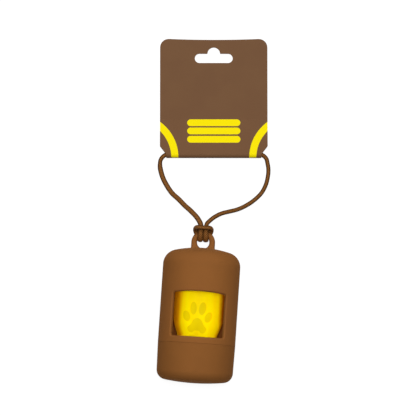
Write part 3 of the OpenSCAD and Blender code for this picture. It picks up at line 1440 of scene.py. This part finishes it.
@dataclass
class Sleeve:
    """The silicone sleeve: wall with its window, domed top, neck and hanging eye."""

    plan: BodyPlan
    finish: Finish
    wall_t: float = 3 * MM
    top_t: float = 3.6 * MM
    top_dome_r: float = 67 * MM
    top_edge_r: float = 9.2 * MM
    top_len: float = 13 * MM
    body_len: float = 84 * MM
    seam_gap: float = 0.06 * MM
    neck_gap: float = 0.05 * MM
    neck_rib_h: float = 0.2 * MM
    neck_ribs: int = 2
    neck_len: float = 9 * MM
    neck_fillet_r: float = 0.25 * MM
    neck_edge_r: float = 0.4 * MM
    neck_edge_steps: int = 4
    rib_w: float = 1.2 * MM
    window_w: float = 32.8 * MM
    window_len: float = 26.8 * MM
    window_rise: float = 4 * MM
    window_arch: float = 1 * MM
    window_strips: int = 12
    window_corner_r: float = 1.3 * MM
    corner_steps: int = 5
    window_draft: float = 1.5 * MM
    rim_r: float = 1.2 * MM
    rim_steps: int = 6
    inner_rim_r: float = 0.4 * MM
    inner_rim_steps: int = 3
    straight_turn: float = 50.0
    round_turn: float = 75.0
    eye_r: float = 5.6 * MM
    eye_bar_d: float = 3.6 * MM
    eye_foot_r: float = 1.2 * MM
    eye_root: float = 1 * MM
    ring_steps: int = 72
    flare_steps: int = 6
    bar_sides: int = 32
    bore_r: float = field(init=False)
    apex_y: float = field(init=False)
    wall_y: tuple[float, float] = field(init=False)
    window_y: tuple[float, float] = field(init=False)
    window_half: float = field(init=False)
    half_turn: float = field(init=False)

    def __post_init__(self) -> None:
        """Works out the places that several steps share, on the flat wall and on the round body."""
        plan = self.plan
        self.bore_r = plan.body_r - self.wall_t
        self.apex_y = plan.base_y + self.body_len
        self.wall_y = (plan.seam_y + self.seam_gap + plan.lip_r, self.apex_y - self.top_len)
        window_low = plan.seam_y + self.window_rise
        self.window_y = (window_low, window_low + self.window_len)
        self.window_half = plan.body_r * math.asin(self.window_w / 2 / plan.body_r)
        self.half_turn = math.pi * plan.body_r

    def build(self) -> tuple[Object, Object]:
        """Models the sleeve and its eye.

        Returns:
            The two pieces, dressed.
        """
        sleeve = finished(join([self.wall(), self.crown(), self.neck()]), self.finish, flats=True)
        eye = self.eye()
        self.finish.dress(eye)
        return sleeve, eye

    def wall(self) -> Object:
        """Models the wall as a flat plate with the window in it, then wraps it round the axis.

        Returns:
            The wall, open at both ends.
        """
        plate = slab("silicone_sleeve", self.half_turn, self.wall_y, (-self.wall_t, 0))
        combine(plate, self.window_cutter(), "DIFFERENCE")
        bevel_edges(plate, self.rim_at(0), self.rim_r, self.rim_steps)
        bevel_edges(plate, self.rim_at(-self.wall_t), self.inner_rim_r, self.inner_rim_steps)
        with picked(plate, Element.FACE, self.at_plate_side):
            bpy.ops.mesh.delete(type="FACE")
        cut_strips(plate, self.half_turn, self.plan.steps)
        move_vertices(plate, self.wrapped)
        return plate

    def rim_at(self, face_z: float) -> Test:
        """Gives the test for an edge of the window's rim on one face of the flat wall.

        Args:
            face_z: Where the face lies.

        Returns:
            The test.
        """
        low, high = self.window_y[0] - TINY, self.window_y[1] + self.window_arch + TINY

        def on_rim(corners: list[Vector]) -> bool:
            """Says whether the corners lie on the face and on the window's outline.

            Args:
                corners: The edge's two ends.

            Returns:
                Whether they do.
            """
            return all(
                abs(p.z - face_z) < TINY and abs(p.x) <= self.window_half + TINY
                and low <= p.y <= high
                for p in corners
            )

        return on_rim

    def at_plate_side(self, corners: list[Vector]) -> bool:
        """Says whether a face is one of the plate's four outer sides.

        Args:
            corners: The face's corners.

        Returns:
            Whether all of them lie on one side.
        """
        off_sides = [[p.y - y for p in corners] for y in self.wall_y]
        off_sides.append([abs(p.x) - self.half_turn for p in corners])
        return any(all(abs(off) < TINY for off in offsets) for offsets in off_sides)

    def window_cutter(self) -> Object:
        """Models what the window is cut with, with its round corners and arched upper edge.

        Returns:
            The cutter.
        """
        wall_t, high = self.wall_t, self.window_y[1]
        cutter = slab(
            "window_cutter", self.window_half, self.window_y, (-1.5 * wall_t, 0.5 * wall_t)
        )
        bevel_edges(cutter, upright, self.window_corner_r, self.corner_steps)
        half_chord = self.window_half - self.window_corner_r
        cut_strips(cutter, half_chord, self.window_strips)

        def arched(p: Vector) -> Vector:
            """Raises the upper edge to its arch and draws the sides in towards the bore.

            Args:
                p: A vertex of the cutter.

            Returns:
                Its new place.
            """
            if p.y > high - TINY:
                p.y += self.window_arch * max(0.0, 1 - (p.x / half_chord) ** 2)
            p.x *= 1 + self.window_draft / self.window_half * p.z / wall_t
            return p

        move_vertices(cutter, arched)
        return cutter

    def wrapped(self, p: Vector) -> Vector:
        """Gives the place on the round body of a point of the flat wall.

        Near the window the wall's cut faces stay upright instead of pointing to the axis.

        Args:
            p: The point of the flat wall.

        Returns:
            Its place on the body.
        """
        turn = p.x / self.plan.body_r
        r = self.plan.body_r + p.z
        straight, rounded = math.radians(self.straight_turn), math.radians(self.round_turn)
        share = eased((rounded - abs(turn)) / (rounded - straight))
        sine = self.plan.body_r * math.sin(turn) / r
        if share > 0 and abs(sine) < 1:
            turn += share * (math.asin(sine) - turn)
        return Vector((r * math.sin(turn), p.y, self.plan.axis_z + r * math.cos(turn)))

    def crown(self) -> Object:
        """Turns the domed top, outside and inside.

        Returns:
            The two domes in one object.
        """
        body_r, high_y = self.plan.body_r, self.wall_y[1]
        outside = round_end(body_r, self.apex_y, self.top_dome_r, self.top_edge_r)
        inside = round_end(
            self.bore_r, self.apex_y - self.top_t, self.top_dome_r - self.top_t,
            self.top_edge_r - self.wall_t,
        )
        outer = self.plan.turned("crown_outside", [(body_r, high_y), *outside])
        return join([outer, self.plan.turned("crown_inside", [(self.bore_r, high_y), *inside])])

    def neck(self) -> Object:
        """Turns the lower lip of the sleeve and the ribbed neck that the cup slides over.

        Returns:
            The lip and neck, open where they meet the wall.
        """
        plan, low_y = self.plan, self.wall_y[0]
        rib_r = plan.body_r - plan.lip_t - self.neck_gap
        neck_r = rib_r - self.neck_rib_h
        pitch = self.neck_len / (self.neck_ribs + 1)
        fillet_r, fillet_y = self.neck_fillet_r, low_y - plan.lip_r - self.neck_fillet_r
        outline = arc((plan.body_r - plan.lip_r, low_y), plan.lip_r, 0, -90, plan.lip_steps)
        outline += arc((neck_r + fillet_r, fillet_y), fillet_r, 90, 180, plan.fillet_steps)
        for i in range(self.neck_ribs, 0, -1):
            y = plan.neck_y + i * pitch
            outline += [
                (neck_r, y + self.rib_w / 2), (rib_r, y + self.rib_w / 6),
                (rib_r, y - self.rib_w / 6), (neck_r, y - self.rib_w / 2),
            ]
        end_r, end_steps = self.neck_edge_r, self.neck_edge_steps
        end_y = plan.neck_y + end_r
        outline += arc((neck_r - end_r, end_y), end_r, 0, -90, end_steps)
        outline += arc((self.bore_r + end_r, end_y), end_r, 270, 180, end_steps)
        return plan.turned("neck", [*outline, (self.bore_r, low_y)])

    def eye(self) -> Object:
        """Bends the eye's bar to a ring and stands it on two legs that flare into the domed top.

        Returns:
            The eye, one closed shell.
        """
        bar_r = self.eye_bar_d / 2
        eye_y = self.plan.eye_top_y - bar_r - self.eye_r
        bpy.ops.object.select_all(action="DESELECT")
        bpy.ops.mesh.primitive_torus_add(
            major_segments=self.ring_steps, minor_segments=self.bar_sides, major_radius=self.eye_r,
            minor_radius=bar_r, location=(0, eye_y, self.plan.axis_z),
        )
        eye = added("hanging_eye")
        for side in Side:
            combine(eye, self.leg(side, eye_y - TINY), "UNION")
        smooth(eye, TUBE_ANGLE)
        return eye

    def leg(self, side: Side, top_y: float) -> Object:
        """Turns one of the eye's legs, from inside the domed top to the middle of the ring.

        Args:
            side: The side it stands on.
            top_y: Where it ends in the ring.

        Returns:
            The leg, closed at both ends.
        """
        leg_r = self.eye_bar_d / 2 - TINY
        foot_r, foot_y = self.eye_foot_r, self.apex_y - self.top_t / 4
        flare = arc((leg_r + foot_r, foot_y + foot_r), foot_r, 180, 270, self.flare_steps)
        outline = [(leg_r, top_y), *flare, (leg_r + foot_r, foot_y - self.eye_root)]
        axis = (side.value * self.eye_r, self.plan.axis_z)
        leg = turned("eye_leg", outline, axis, self.bar_sides)
        with editing(leg):
            bpy.ops.mesh.select_non_manifold()
            bpy.ops.mesh.fill_holes(sides=0)
        face_outwards(leg)
        return leg


@dataclass
class Cup:
    """The push-fit cup that closes the sleeve's base."""

    plan: BodyPlan
    finish: Finish
    taper: float = 0.7 * MM
    wall_t: float = 3.2 * MM
    floor_t: float = 3.2 * MM
    base_dome_r: float = 128 * MM
    base_edge_r: float = 6.2 * MM
    seat_gap: float = 0.3 * MM
    inner_lip_r: float = 0.2 * MM

    def build(self) -> Object:
        """Turns the cup in one closed outline, from its base over the lip to its floor.

        Returns:
            The piece, dressed.
        """
        plan, small_r = self.plan, self.inner_lip_r
        bore_r, mouth_r = plan.body_r - self.wall_t, plan.body_r - plan.lip_t
        outside = round_end(
            plan.body_r - self.taper / 2, plan.base_y, self.base_dome_r, self.base_edge_r, up=-1
        )
        inside = round_end(
            bore_r, plan.base_y + self.floor_t, self.base_dome_r - self.floor_t,
            self.base_edge_r - self.wall_t / 2, up=-1,
        )
        lip_at = (plan.body_r - plan.lip_r, plan.seam_y - plan.lip_r)
        lip = arc(lip_at, plan.lip_r, 0, 90, plan.lip_steps)
        lip += arc(
            (mouth_r + small_r, plan.seam_y - small_r), small_r, 90, 180, plan.fillet_steps
        )
        seat_y = plan.neck_y - self.seat_gap
        outline = [*outside[::-1], *lip, (mouth_r, seat_y), (bore_r, seat_y), *inside]
        return finished(plan.turned("end_cup", outline), self.finish, flats=True)


@dataclass
class Roll:
    """The roll of bags: the wound film and the outermost bag round it."""

    film: Finish
    printed: Finish
    steps: int = 144
    rows: int = 58
    end_drop: float = 3.6 * MM
    full_len: float = 16 * MM
    shoulder_len: float = 14 * MM
    end_sink: float = 0.3 * MM
    bag_t: float = 0.4 * MM
    wrap_gap: float = 0.05 * MM
    bag_wrap: float = 330.0
    core_gap: float = 0.05 * MM
    axis: tuple[float, float] = field(init=False)
    low_y: float = field(init=False)
    high_y: float = field(init=False)
    roll_r: float = field(init=False)
    bore_r: float = field(init=False)

    def __post_init__(self) -> None:
        """Takes the roll's place and size from the frame."""
        low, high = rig.box("bag_roll")
        core_low, core_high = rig.box("roll_core")
        self.low_y, self.high_y = low.y, high.y
        self.axis = (0, (low.z + high.z) / 2)
        self.roll_r = (high.x - low.x) / 2
        self.bore_r = (core_high.x - core_low.x) / 2 + self.core_gap

    def build(self) -> tuple[Object, Object]:
        """Models the wound film and the outermost bag.

        Returns:
            The two pieces, dressed.
        """
        return finished(self.wound_film(), self.film), finished(self.outer_bag(), self.printed)

    def crowned(self, extra: float) -> Outline:
        """Draws the roll, full in its middle, with shoulders to its thinner ends.

        Args:
            extra: How far outside the roll's surface the outline runs.

        Returns:
            Points as (distance from the axis, place along it).
        """
        middle, length = (self.low_y + self.high_y) / 2, self.high_y - self.low_y
        outline = []
        for i in range(self.rows + 1):
            y = self.low_y + length * i / self.rows
            past = eased((abs(y - middle) - self.full_len / 2) / self.shoulder_len)
            outline.append((self.roll_r - self.end_drop * past + extra, y))
        return outline

    def wound_film(self) -> Object:
        """Models the wound film with slightly sunk ends, where its layers show.

        Returns:
            The closed shell.
        """
        first, *outside, last = self.crowned(0)
        sink = self.end_sink
        start = (self.bore_r, self.low_y + sink)
        outline = [start, (first[0] - sink, self.low_y), *outside]
        outline += [(last[0] - sink, self.high_y), (self.bore_r, self.high_y - sink), start]
        return turned("wound_film", outline, self.axis, self.steps)

    def outer_bag(self) -> Object:
        """Models the outermost bag, folded flat, with its free end lying on the roll.

        Returns:
            The closed shell.
        """
        inside = self.crowned(self.wrap_gap)
        outline = [*inside, *reversed(self.crowned(self.wrap_gap + self.bag_t)), inside[0]]
        bag = turned("outer_bag", outline, self.axis, self.steps, self.bag_wrap)
        with editing(bag):
            bpy.ops.mesh.select_mode(type=Element.EDGE.value)
            bpy.ops.mesh.select_all(action="DESELECT")
            bpy.ops.mesh.select_non_manifold()
            bpy.ops.mesh.fill()
        return bag


# Lanyard --------------------------------------------------------------------


@dataclass(frozen=True)
class CordRoute:
    """The cord's way: hitched round the eye's bar, and looped through the card's fold.

    Its places are in millimetres. Those of the hitch are from the bar's middle, with the cord's
    width there as a fourth number.
    """

    cord_d: float = 2.7
    bar_at: tuple[float, float, float] = (0, 45.6, 24)
    bar_reach: float = 1.6
    hitch_shift: tuple[float, float, float] = (-0.4, 0, 0)
    hitch_turn: float = 0.5
    half_hitch: tuple[tuple[float, float, float, float], ...] = (
        (-2.35, 6.8, -0.2, 3.2), (-1.85, 5.5, -0.1, 3.2), (-1.6, 4.3, 0.6, 3.1),
        (-1.55, 3.2, 2, 3.1), (-1.6, 2, 3.4, 3.3), (-1.6, 0.5, 4.3, 3.4), (-1.65, -1.2, 4.3, 3.5),
        (-1.7, -2.8, 3.4, 3.55), (-1.75, -4, 1.7, 3.6), (-1.8, -4.4, -0.2, 3.5),
        (-1.8, -3.9, -2, 3.3), (-2.1, -2.8, -3.4, 3.3), (-2.8, -1.3, -4.1, 3.7),
        (-3.7, 0.1, -4.1, 4), (-4.4, 1.3, -3.5, 4), (-4.95, 2.3, -2.1, 3.6),
        (-5.05, 3.1, 0.1, 3.2), (-4.6, 3.45, 2.3, 3.1), (-3.7, 3.45, 4.4, 3),
        (-2.1, 3.3, 6, 2.8), (0, 3.2, 6.5, 2.7),
    )
    knot_top: float = 4.6
    turned_width: float = 3.2
    turned_points: int = 8
    loop_run: tuple[tuple[float, float, float], ...] = (
        (-5, 55.5, 23), (-9, 59.5, 19.5), (-13, 63, 14.5), (-17, 67, 9), (-21.5, 71, 4),
        (-25, 75.5, 1.8), (-28, 80.5, 1.4), (-30, 86, 1.4), (-30.5, 90, 1.7),
        (-29.9, 92.6, 2.1), (-28, 94.7, 2.3), (-25.3, 95.6, 2.35), (-12, 96.5, 2.35),
        (3, 97.5, 2.35), (18, 98.5, 2.35), (31.3, 99.4, 2.35), (34.1, 98.8, 2.3),
        (36.3, 96.9, 2.1), (37.2, 94.2, 1.7), (38, 90.5, 1.4), (38, 86, 1.4), (37, 80.5, 1.4),
        (34.5, 75, 1.4), (30, 70, 2.2), (25, 66, 5.5), (20, 63, 10.5), (15, 61, 15.5),
        (10, 59, 20), (5.5, 56, 23),
    )

    def hitch(self) -> list[Vector]:
        """Lays out the hitch from its left end to its right end.

        Returns:
            Its points in metres, with the cord's width there.
        """
        left = [Vector(p) for p in self.half_hitch]
        right = [Vector((-p.x, p.y, p.z, p.w)) for p in reversed(left[:-1])]
        right[-1].w = right[-2].w = self.cord_d
        turn = Matrix.Rotation(math.radians(self.hitch_turn), 4, "Z")
        at = Vector((*self.bar_at, 0)) + Vector((*self.hitch_shift, 0))
        return [(turn @ p + at) * MM for p in [*left, *right]]

    def loop(self) -> list[Vector]:
        """Lays out the loop from the hitch's right end round to its left end.

        Returns:
            Its points in metres, with the cord's width there.
        """
        hitch = self.hitch()
        widths = [self.turned_width] * self.turned_points
        widths += [self.cord_d] * (len(self.loop_run) - len(widths))
        run = [Vector((*place, width)) * MM for place, width in zip(self.loop_run, widths)]
        return [hitch[-1], *reversed(run), hitch[0]]

    def outwards(self, place: Vector) -> Vector:
        """Direction from the knot's middle line, on the eye's bar, to a place on the cord.

        Above the knot the cord lies with its broad side up.

        Args:
            place: The place on the cord.

        Returns:
            The direction, of any length.
        """
        bar = Vector(self.bar_at) * MM
        if place.y > bar.y + self.knot_top * MM:
            return Vector((0, 0, 1))
        reach = self.bar_reach * MM
        return place - Vector((min(reach, max(-reach, place.x)), bar.y, bar.z))


@dataclass
class Lanyard:
    """The braided cord, in one piece round the eye and one through the card."""

    finish: Finish
    route: CordRoute = field(default_factory=CordRoute)
    sides: int = 20
    step: float = 0.55 * MM

    def build(self) -> dict[str, tuple[Object, list[Vector]]]:
        """Sweeps both stretches of the cord on one smooth closed route.

        Returns:
            Each piece with the samples of its route, under the name of the node it replaces.
        """
        hitch, loop = self.route.hitch(), self.route.loop()
        runs = {
            "lanyard_hitch": smooth_route(hitch, self.step, loop[-2], loop[1]),
            "lanyard_loop": smooth_route(loop, self.step, hitch[-2], hitch[1]),
        }
        whole = [*runs["lanyard_hitch"], *runs["lanyard_loop"][1:]]
        frames = self.carried([p.to_3d() for p in whole])
        pieces = {}
        offset = 0
        for node, run in runs.items():
            name = node.replace("lanyard", "cord")
            piece = self.swept(name, run, frames[offset:offset + len(run)], offset)
            self.finish.dress(piece)
            pieces[node] = (piece, [p.to_3d() for p in run])
            offset += len(run) - 1
        return pieces

    @staticmethod
    def carried(samples: Sequence[Vector]) -> list[tuple[Vector, Vector]]:
        """Carries a pair of square directions round a closed route, closed without a jump.

        Args:
            samples: The route's samples, with the first place again at the end.

        Returns:
            For each sample, the two directions that span its ring.
        """
        near = [samples[-2], *samples, samples[1]]
        directions = [(b - a).normalized() for a, b in zip(near, near[2:])]
        side = directions[0].orthogonal().normalized()
        sides = []
        for along in directions:
            side = (side - along * side.dot(along)).normalized()
            sides.append(side)
        first, last, along = sides[0], sides[-1], directions[0]
        twist = math.atan2(first.cross(last).dot(along), first.dot(last))
        frames = []
        for i, (side, along) in enumerate(zip(sides, directions)):
            level = Matrix.Rotation(-twist * i / (len(sides) - 1), 3, along) @ side
            frames.append((level, along.cross(level)))
        return frames

    def ring(self, sample: Vector, frame: tuple[Vector, Vector]) -> list[Vector]:
        """Gives the corners of the cord's outline at a sample, pressed flat where it is wider.

        Args:
            sample: The sample, with the cord's width there.
            frame: The two directions that span the ring.

        Returns:
            The corners in order.
        """
        cord_d = self.route.cord_d * MM
        centre, (a, b) = sample.to_3d(), frame
        wide = a.cross(b).cross(self.route.outwards(centre)).normalized()
        ease = sample.w / cord_d
        corners = []
        for k in range(self.sides):
            t = math.tau * k / self.sides
            out = cord_d / 2 * (a * math.cos(t) + b * math.sin(t))
            across = out.dot(wide) * wide
            corners.append(centre + across * ease + (out - across) / ease)
        return corners

    def swept(
        self, name: str, run: Sequence[Vector], frames: Sequence[tuple[Vector, Vector]],
        offset: int,
    ) -> Object:
        """Sweeps a round tube along samples, with a UV map round it and along it.

        Args:
            name: The piece's name.
            run: The samples of its route, with the cord's width there.
            frames: The two directions that span each ring.
            offset: How many samples of the cord come before this piece.

        Returns:
            The tube, with flat closed ends.
        """
        points = [corner for pair in zip(run, frames) for corner in self.ring(*pair)]
        sides, count = self.sides, len(points)
        faces = [
            (near + k, near + (k + 1) % sides, near + sides + (k + 1) % sides, near + sides + k)
            for near in range(0, count - sides, sides) for k in range(sides)
        ]
        wall_count = len(faces)
        faces += [tuple(reversed(range(sides))), tuple(range(count - sides, count))]
        mesh = bpy.data.meshes.new(name)
        mesh.from_pydata(points, [], faces)
        along_step = self.step / (math.pi * self.route.cord_d * MM)
        layer = mesh.uv_layers.new(name="cord_way")
        for face in mesh.polygons:
            for corner, index in zip(face.loop_indices, face.vertices):
                row, column = divmod(index, sides)
                wraps = face.index < wall_count and face.index % sides == sides - 1
                across = 1.0 if wraps and column == 0 else column / sides
                layer.data[corner].uv = (across, (row + offset) * along_step)
        obj = bpy.data.objects.new(name, mesh)
        bpy.context.scene.collection.objects.link(obj)
        smooth(obj, TUBE_ANGLE)
        return obj


# Stage ----------------------------------------------------------------------


@dataclass(frozen=True)
class Lamp:
    """A round soft lamp that looks at the object.

    Its lean is in degrees from straight above towards the card's side, and side is degrees from
    there towards the right. Distance and size are in metres and power is in watts.
    """

    name: str
    lean: float
    side: float
    distance: float
    size: float
    power: float

    def hang(self, aim: Vector) -> None:
        """Hangs the lamp so that it looks at a place.

        Args:
            aim: The place.
        """
        turn = Euler((-math.radians(self.lean), math.radians(self.side), 0))
        place = aim + turn.to_matrix() @ Vector((0, 0, self.distance))
        bpy.ops.object.select_all(action="DESELECT")
        bpy.ops.object.light_add(type="AREA", location=place, rotation=turn)
        lamp = bpy.context.object
        lamp.name = self.name
        lamp.data.shape = "DISK"
        lamp.data.size = self.size
        lamp.data.energy = self.power


@dataclass
class Stage:
    """Pale floor, soft studio light and the camera, which looks at a target in millimetres."""

    target: tuple[float, float, float] = (1.57, 61.67, 24.0)
    distance: float = 1600.0
    mm_per_pixel: float = 0.6217
    frame_pixels: int = 416
    sensor: float = 36.0
    clip: tuple[float, float] = (0.05, 50)
    lean: float = 4.5
    roll: float = 3.76
    floor_size: float = 12.0
    world_strength: float = 0.165
    lamps: tuple[Lamp, ...] = (
        Lamp("overhead_softbox", 0.0, 0.5, 2.2, 0.7, 30.5),
        Lamp("side_softbox", 50.0, 0.0, 2.2, 1.2, 18.0),
    )

    def build(self) -> None:
        """Sets up the floor, the world, the lamps and the camera."""
        self.floor()
        self.world()
        for lamp in self.lamps:
            lamp.hang(Vector(self.target) * MM)
        self.camera()

    def floor(self) -> None:
        """Lays the floor and marks it as no part of the object."""
        bpy.ops.object.select_all(action="DESELECT")
        bpy.ops.mesh.primitive_plane_add(size=self.floor_size)
        floor = added("floor")
        WhiteFloor().dress(floor)
        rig.stage(floor)

    def world(self) -> None:
        """Lights everything evenly, and shows white behind it."""
        world = bpy.data.worlds.new("studio")
        bpy.context.scene.world = world
        nodes = Nodes.inside(world)
        dim = self.world_strength
        strength = nodes.sum("MULTIPLY_ADD", nodes.seen(), 1 - dim, dim)
        nodes.output(
            "World", nodes.add("Background", Color=WHITE, Strength=strength).outputs[0]
        )

    def camera(self) -> None:
        """Looks down on the object, leaning a little towards its base."""
        lean, roll = math.radians(self.lean), math.radians(self.roll)
        forward = Vector((0, math.sin(lean), -math.cos(lean)))
        level = Vector((1, 0, 0))
        upward = Vector((0, math.cos(lean), math.sin(lean)))
        right = level * math.cos(roll) + upward * math.sin(roll)
        up = upward * math.cos(roll) - level * math.sin(roll)
        data = bpy.data.cameras.new("camera")
        data.sensor_width = self.sensor
        data.lens = self.sensor * self.distance / self.mm_per_pixel / self.frame_pixels
        data.clip_start, data.clip_end = self.clip
        camera = bpy.data.objects.new("camera", data)
        place = (Vector(self.target) - forward * self.distance) * MM
        facing = Matrix((right, up, -forward)).transposed().to_4x4()
        camera.matrix_world = Matrix.Translation(place) @ facing
        bpy.context.scene.collection.objects.link(camera)
        bpy.context.scene.camera = camera


# Assembly -------------------------------------------------------------------


def settle(piece: Object, body: str, slot: str, *nodes: str) -> None:
    """Lets a piece ride on its body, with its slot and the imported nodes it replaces.

    Args:
        piece: The finished piece.
        body: The CAD body it moves with.
        slot: The record's material slot it takes its finish from.
        *nodes: The CAD nodes it stands for.
    """
    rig.ride(piece, body)
    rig.slot(piece, slot)
    if nodes:
        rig.replaces(piece, *nodes)
    log.info("%s rides on %s, %d faces", piece.name, body, len(piece.data.polygons))


def corner_list(corners: tuple[Vector, Vector]) -> list[list[float]]:
    """Turns the two corners of a box into plain lists of numbers."""
    return [list(corner) for corner in corners]


def main() -> None:
    """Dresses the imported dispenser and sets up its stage."""
    logging.basicConfig(level=logging.INFO)
    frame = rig.load()
    cad_box = corner_list(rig.bounds())
    bpy.context.scene.view_settings.view_transform = "Standard"

    lanyard = Lanyard(CordBraid())
    on_cord = {"lanyard_loop": [frame["nodes"]["cord_joiner"], frame["nodes"]["hang_card"]]}
    for node, (piece, run) in lanyard.build().items():
        settle(piece, "lanyard", "cord", node)
        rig.cord(
            piece, exit=run[0], length=route_length(run), diameter=lanyard.route.cord_d * MM,
            far_end="object", stiffness="limp", lay="loose", path=run,
            with_pieces=on_cord.get(node, []),
        )

    plan = BodyPlan.from_frame()
    sleeve, eye = Sleeve(plan, SoftSilicone()).build()
    settle(sleeve, "dispenser", "silicone", "shell")
    settle(eye, "dispenser", "silicone")
    # painted shade: the cup takes a darker copy of the sleeve's silicone, standing in for less light on it
    shaded_cup_silicone = SoftSilicone("soft_silicone_cup", base=srgb(135, 86, 42), deep=srgb(132, 84, 41))
    settle(Cup(plan, shaded_cup_silicone).build(), "cap", "silicone", "end_cap")

    film, bag = Roll(BagFilm(), PrintedFilm()).build()
    settle(film, "roll", "bag_film", "bag_roll")
    settle(bag, "roll", "bag_film", "first_bag")
    RawCardboard().dress(frame["nodes"]["roll_core"])
    ShrinkSleeve().dress(frame["nodes"]["cord_joiner"])
    PrintedBoard().dress(frame["nodes"]["hang_card"])

    Stage().build()
    with open(SIZE_FILE, "w") as size_file:
        json.dump({"cad": cad_box, "visual": corner_list(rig.bounds())}, size_file)


if __name__ == "__main__":
    main()
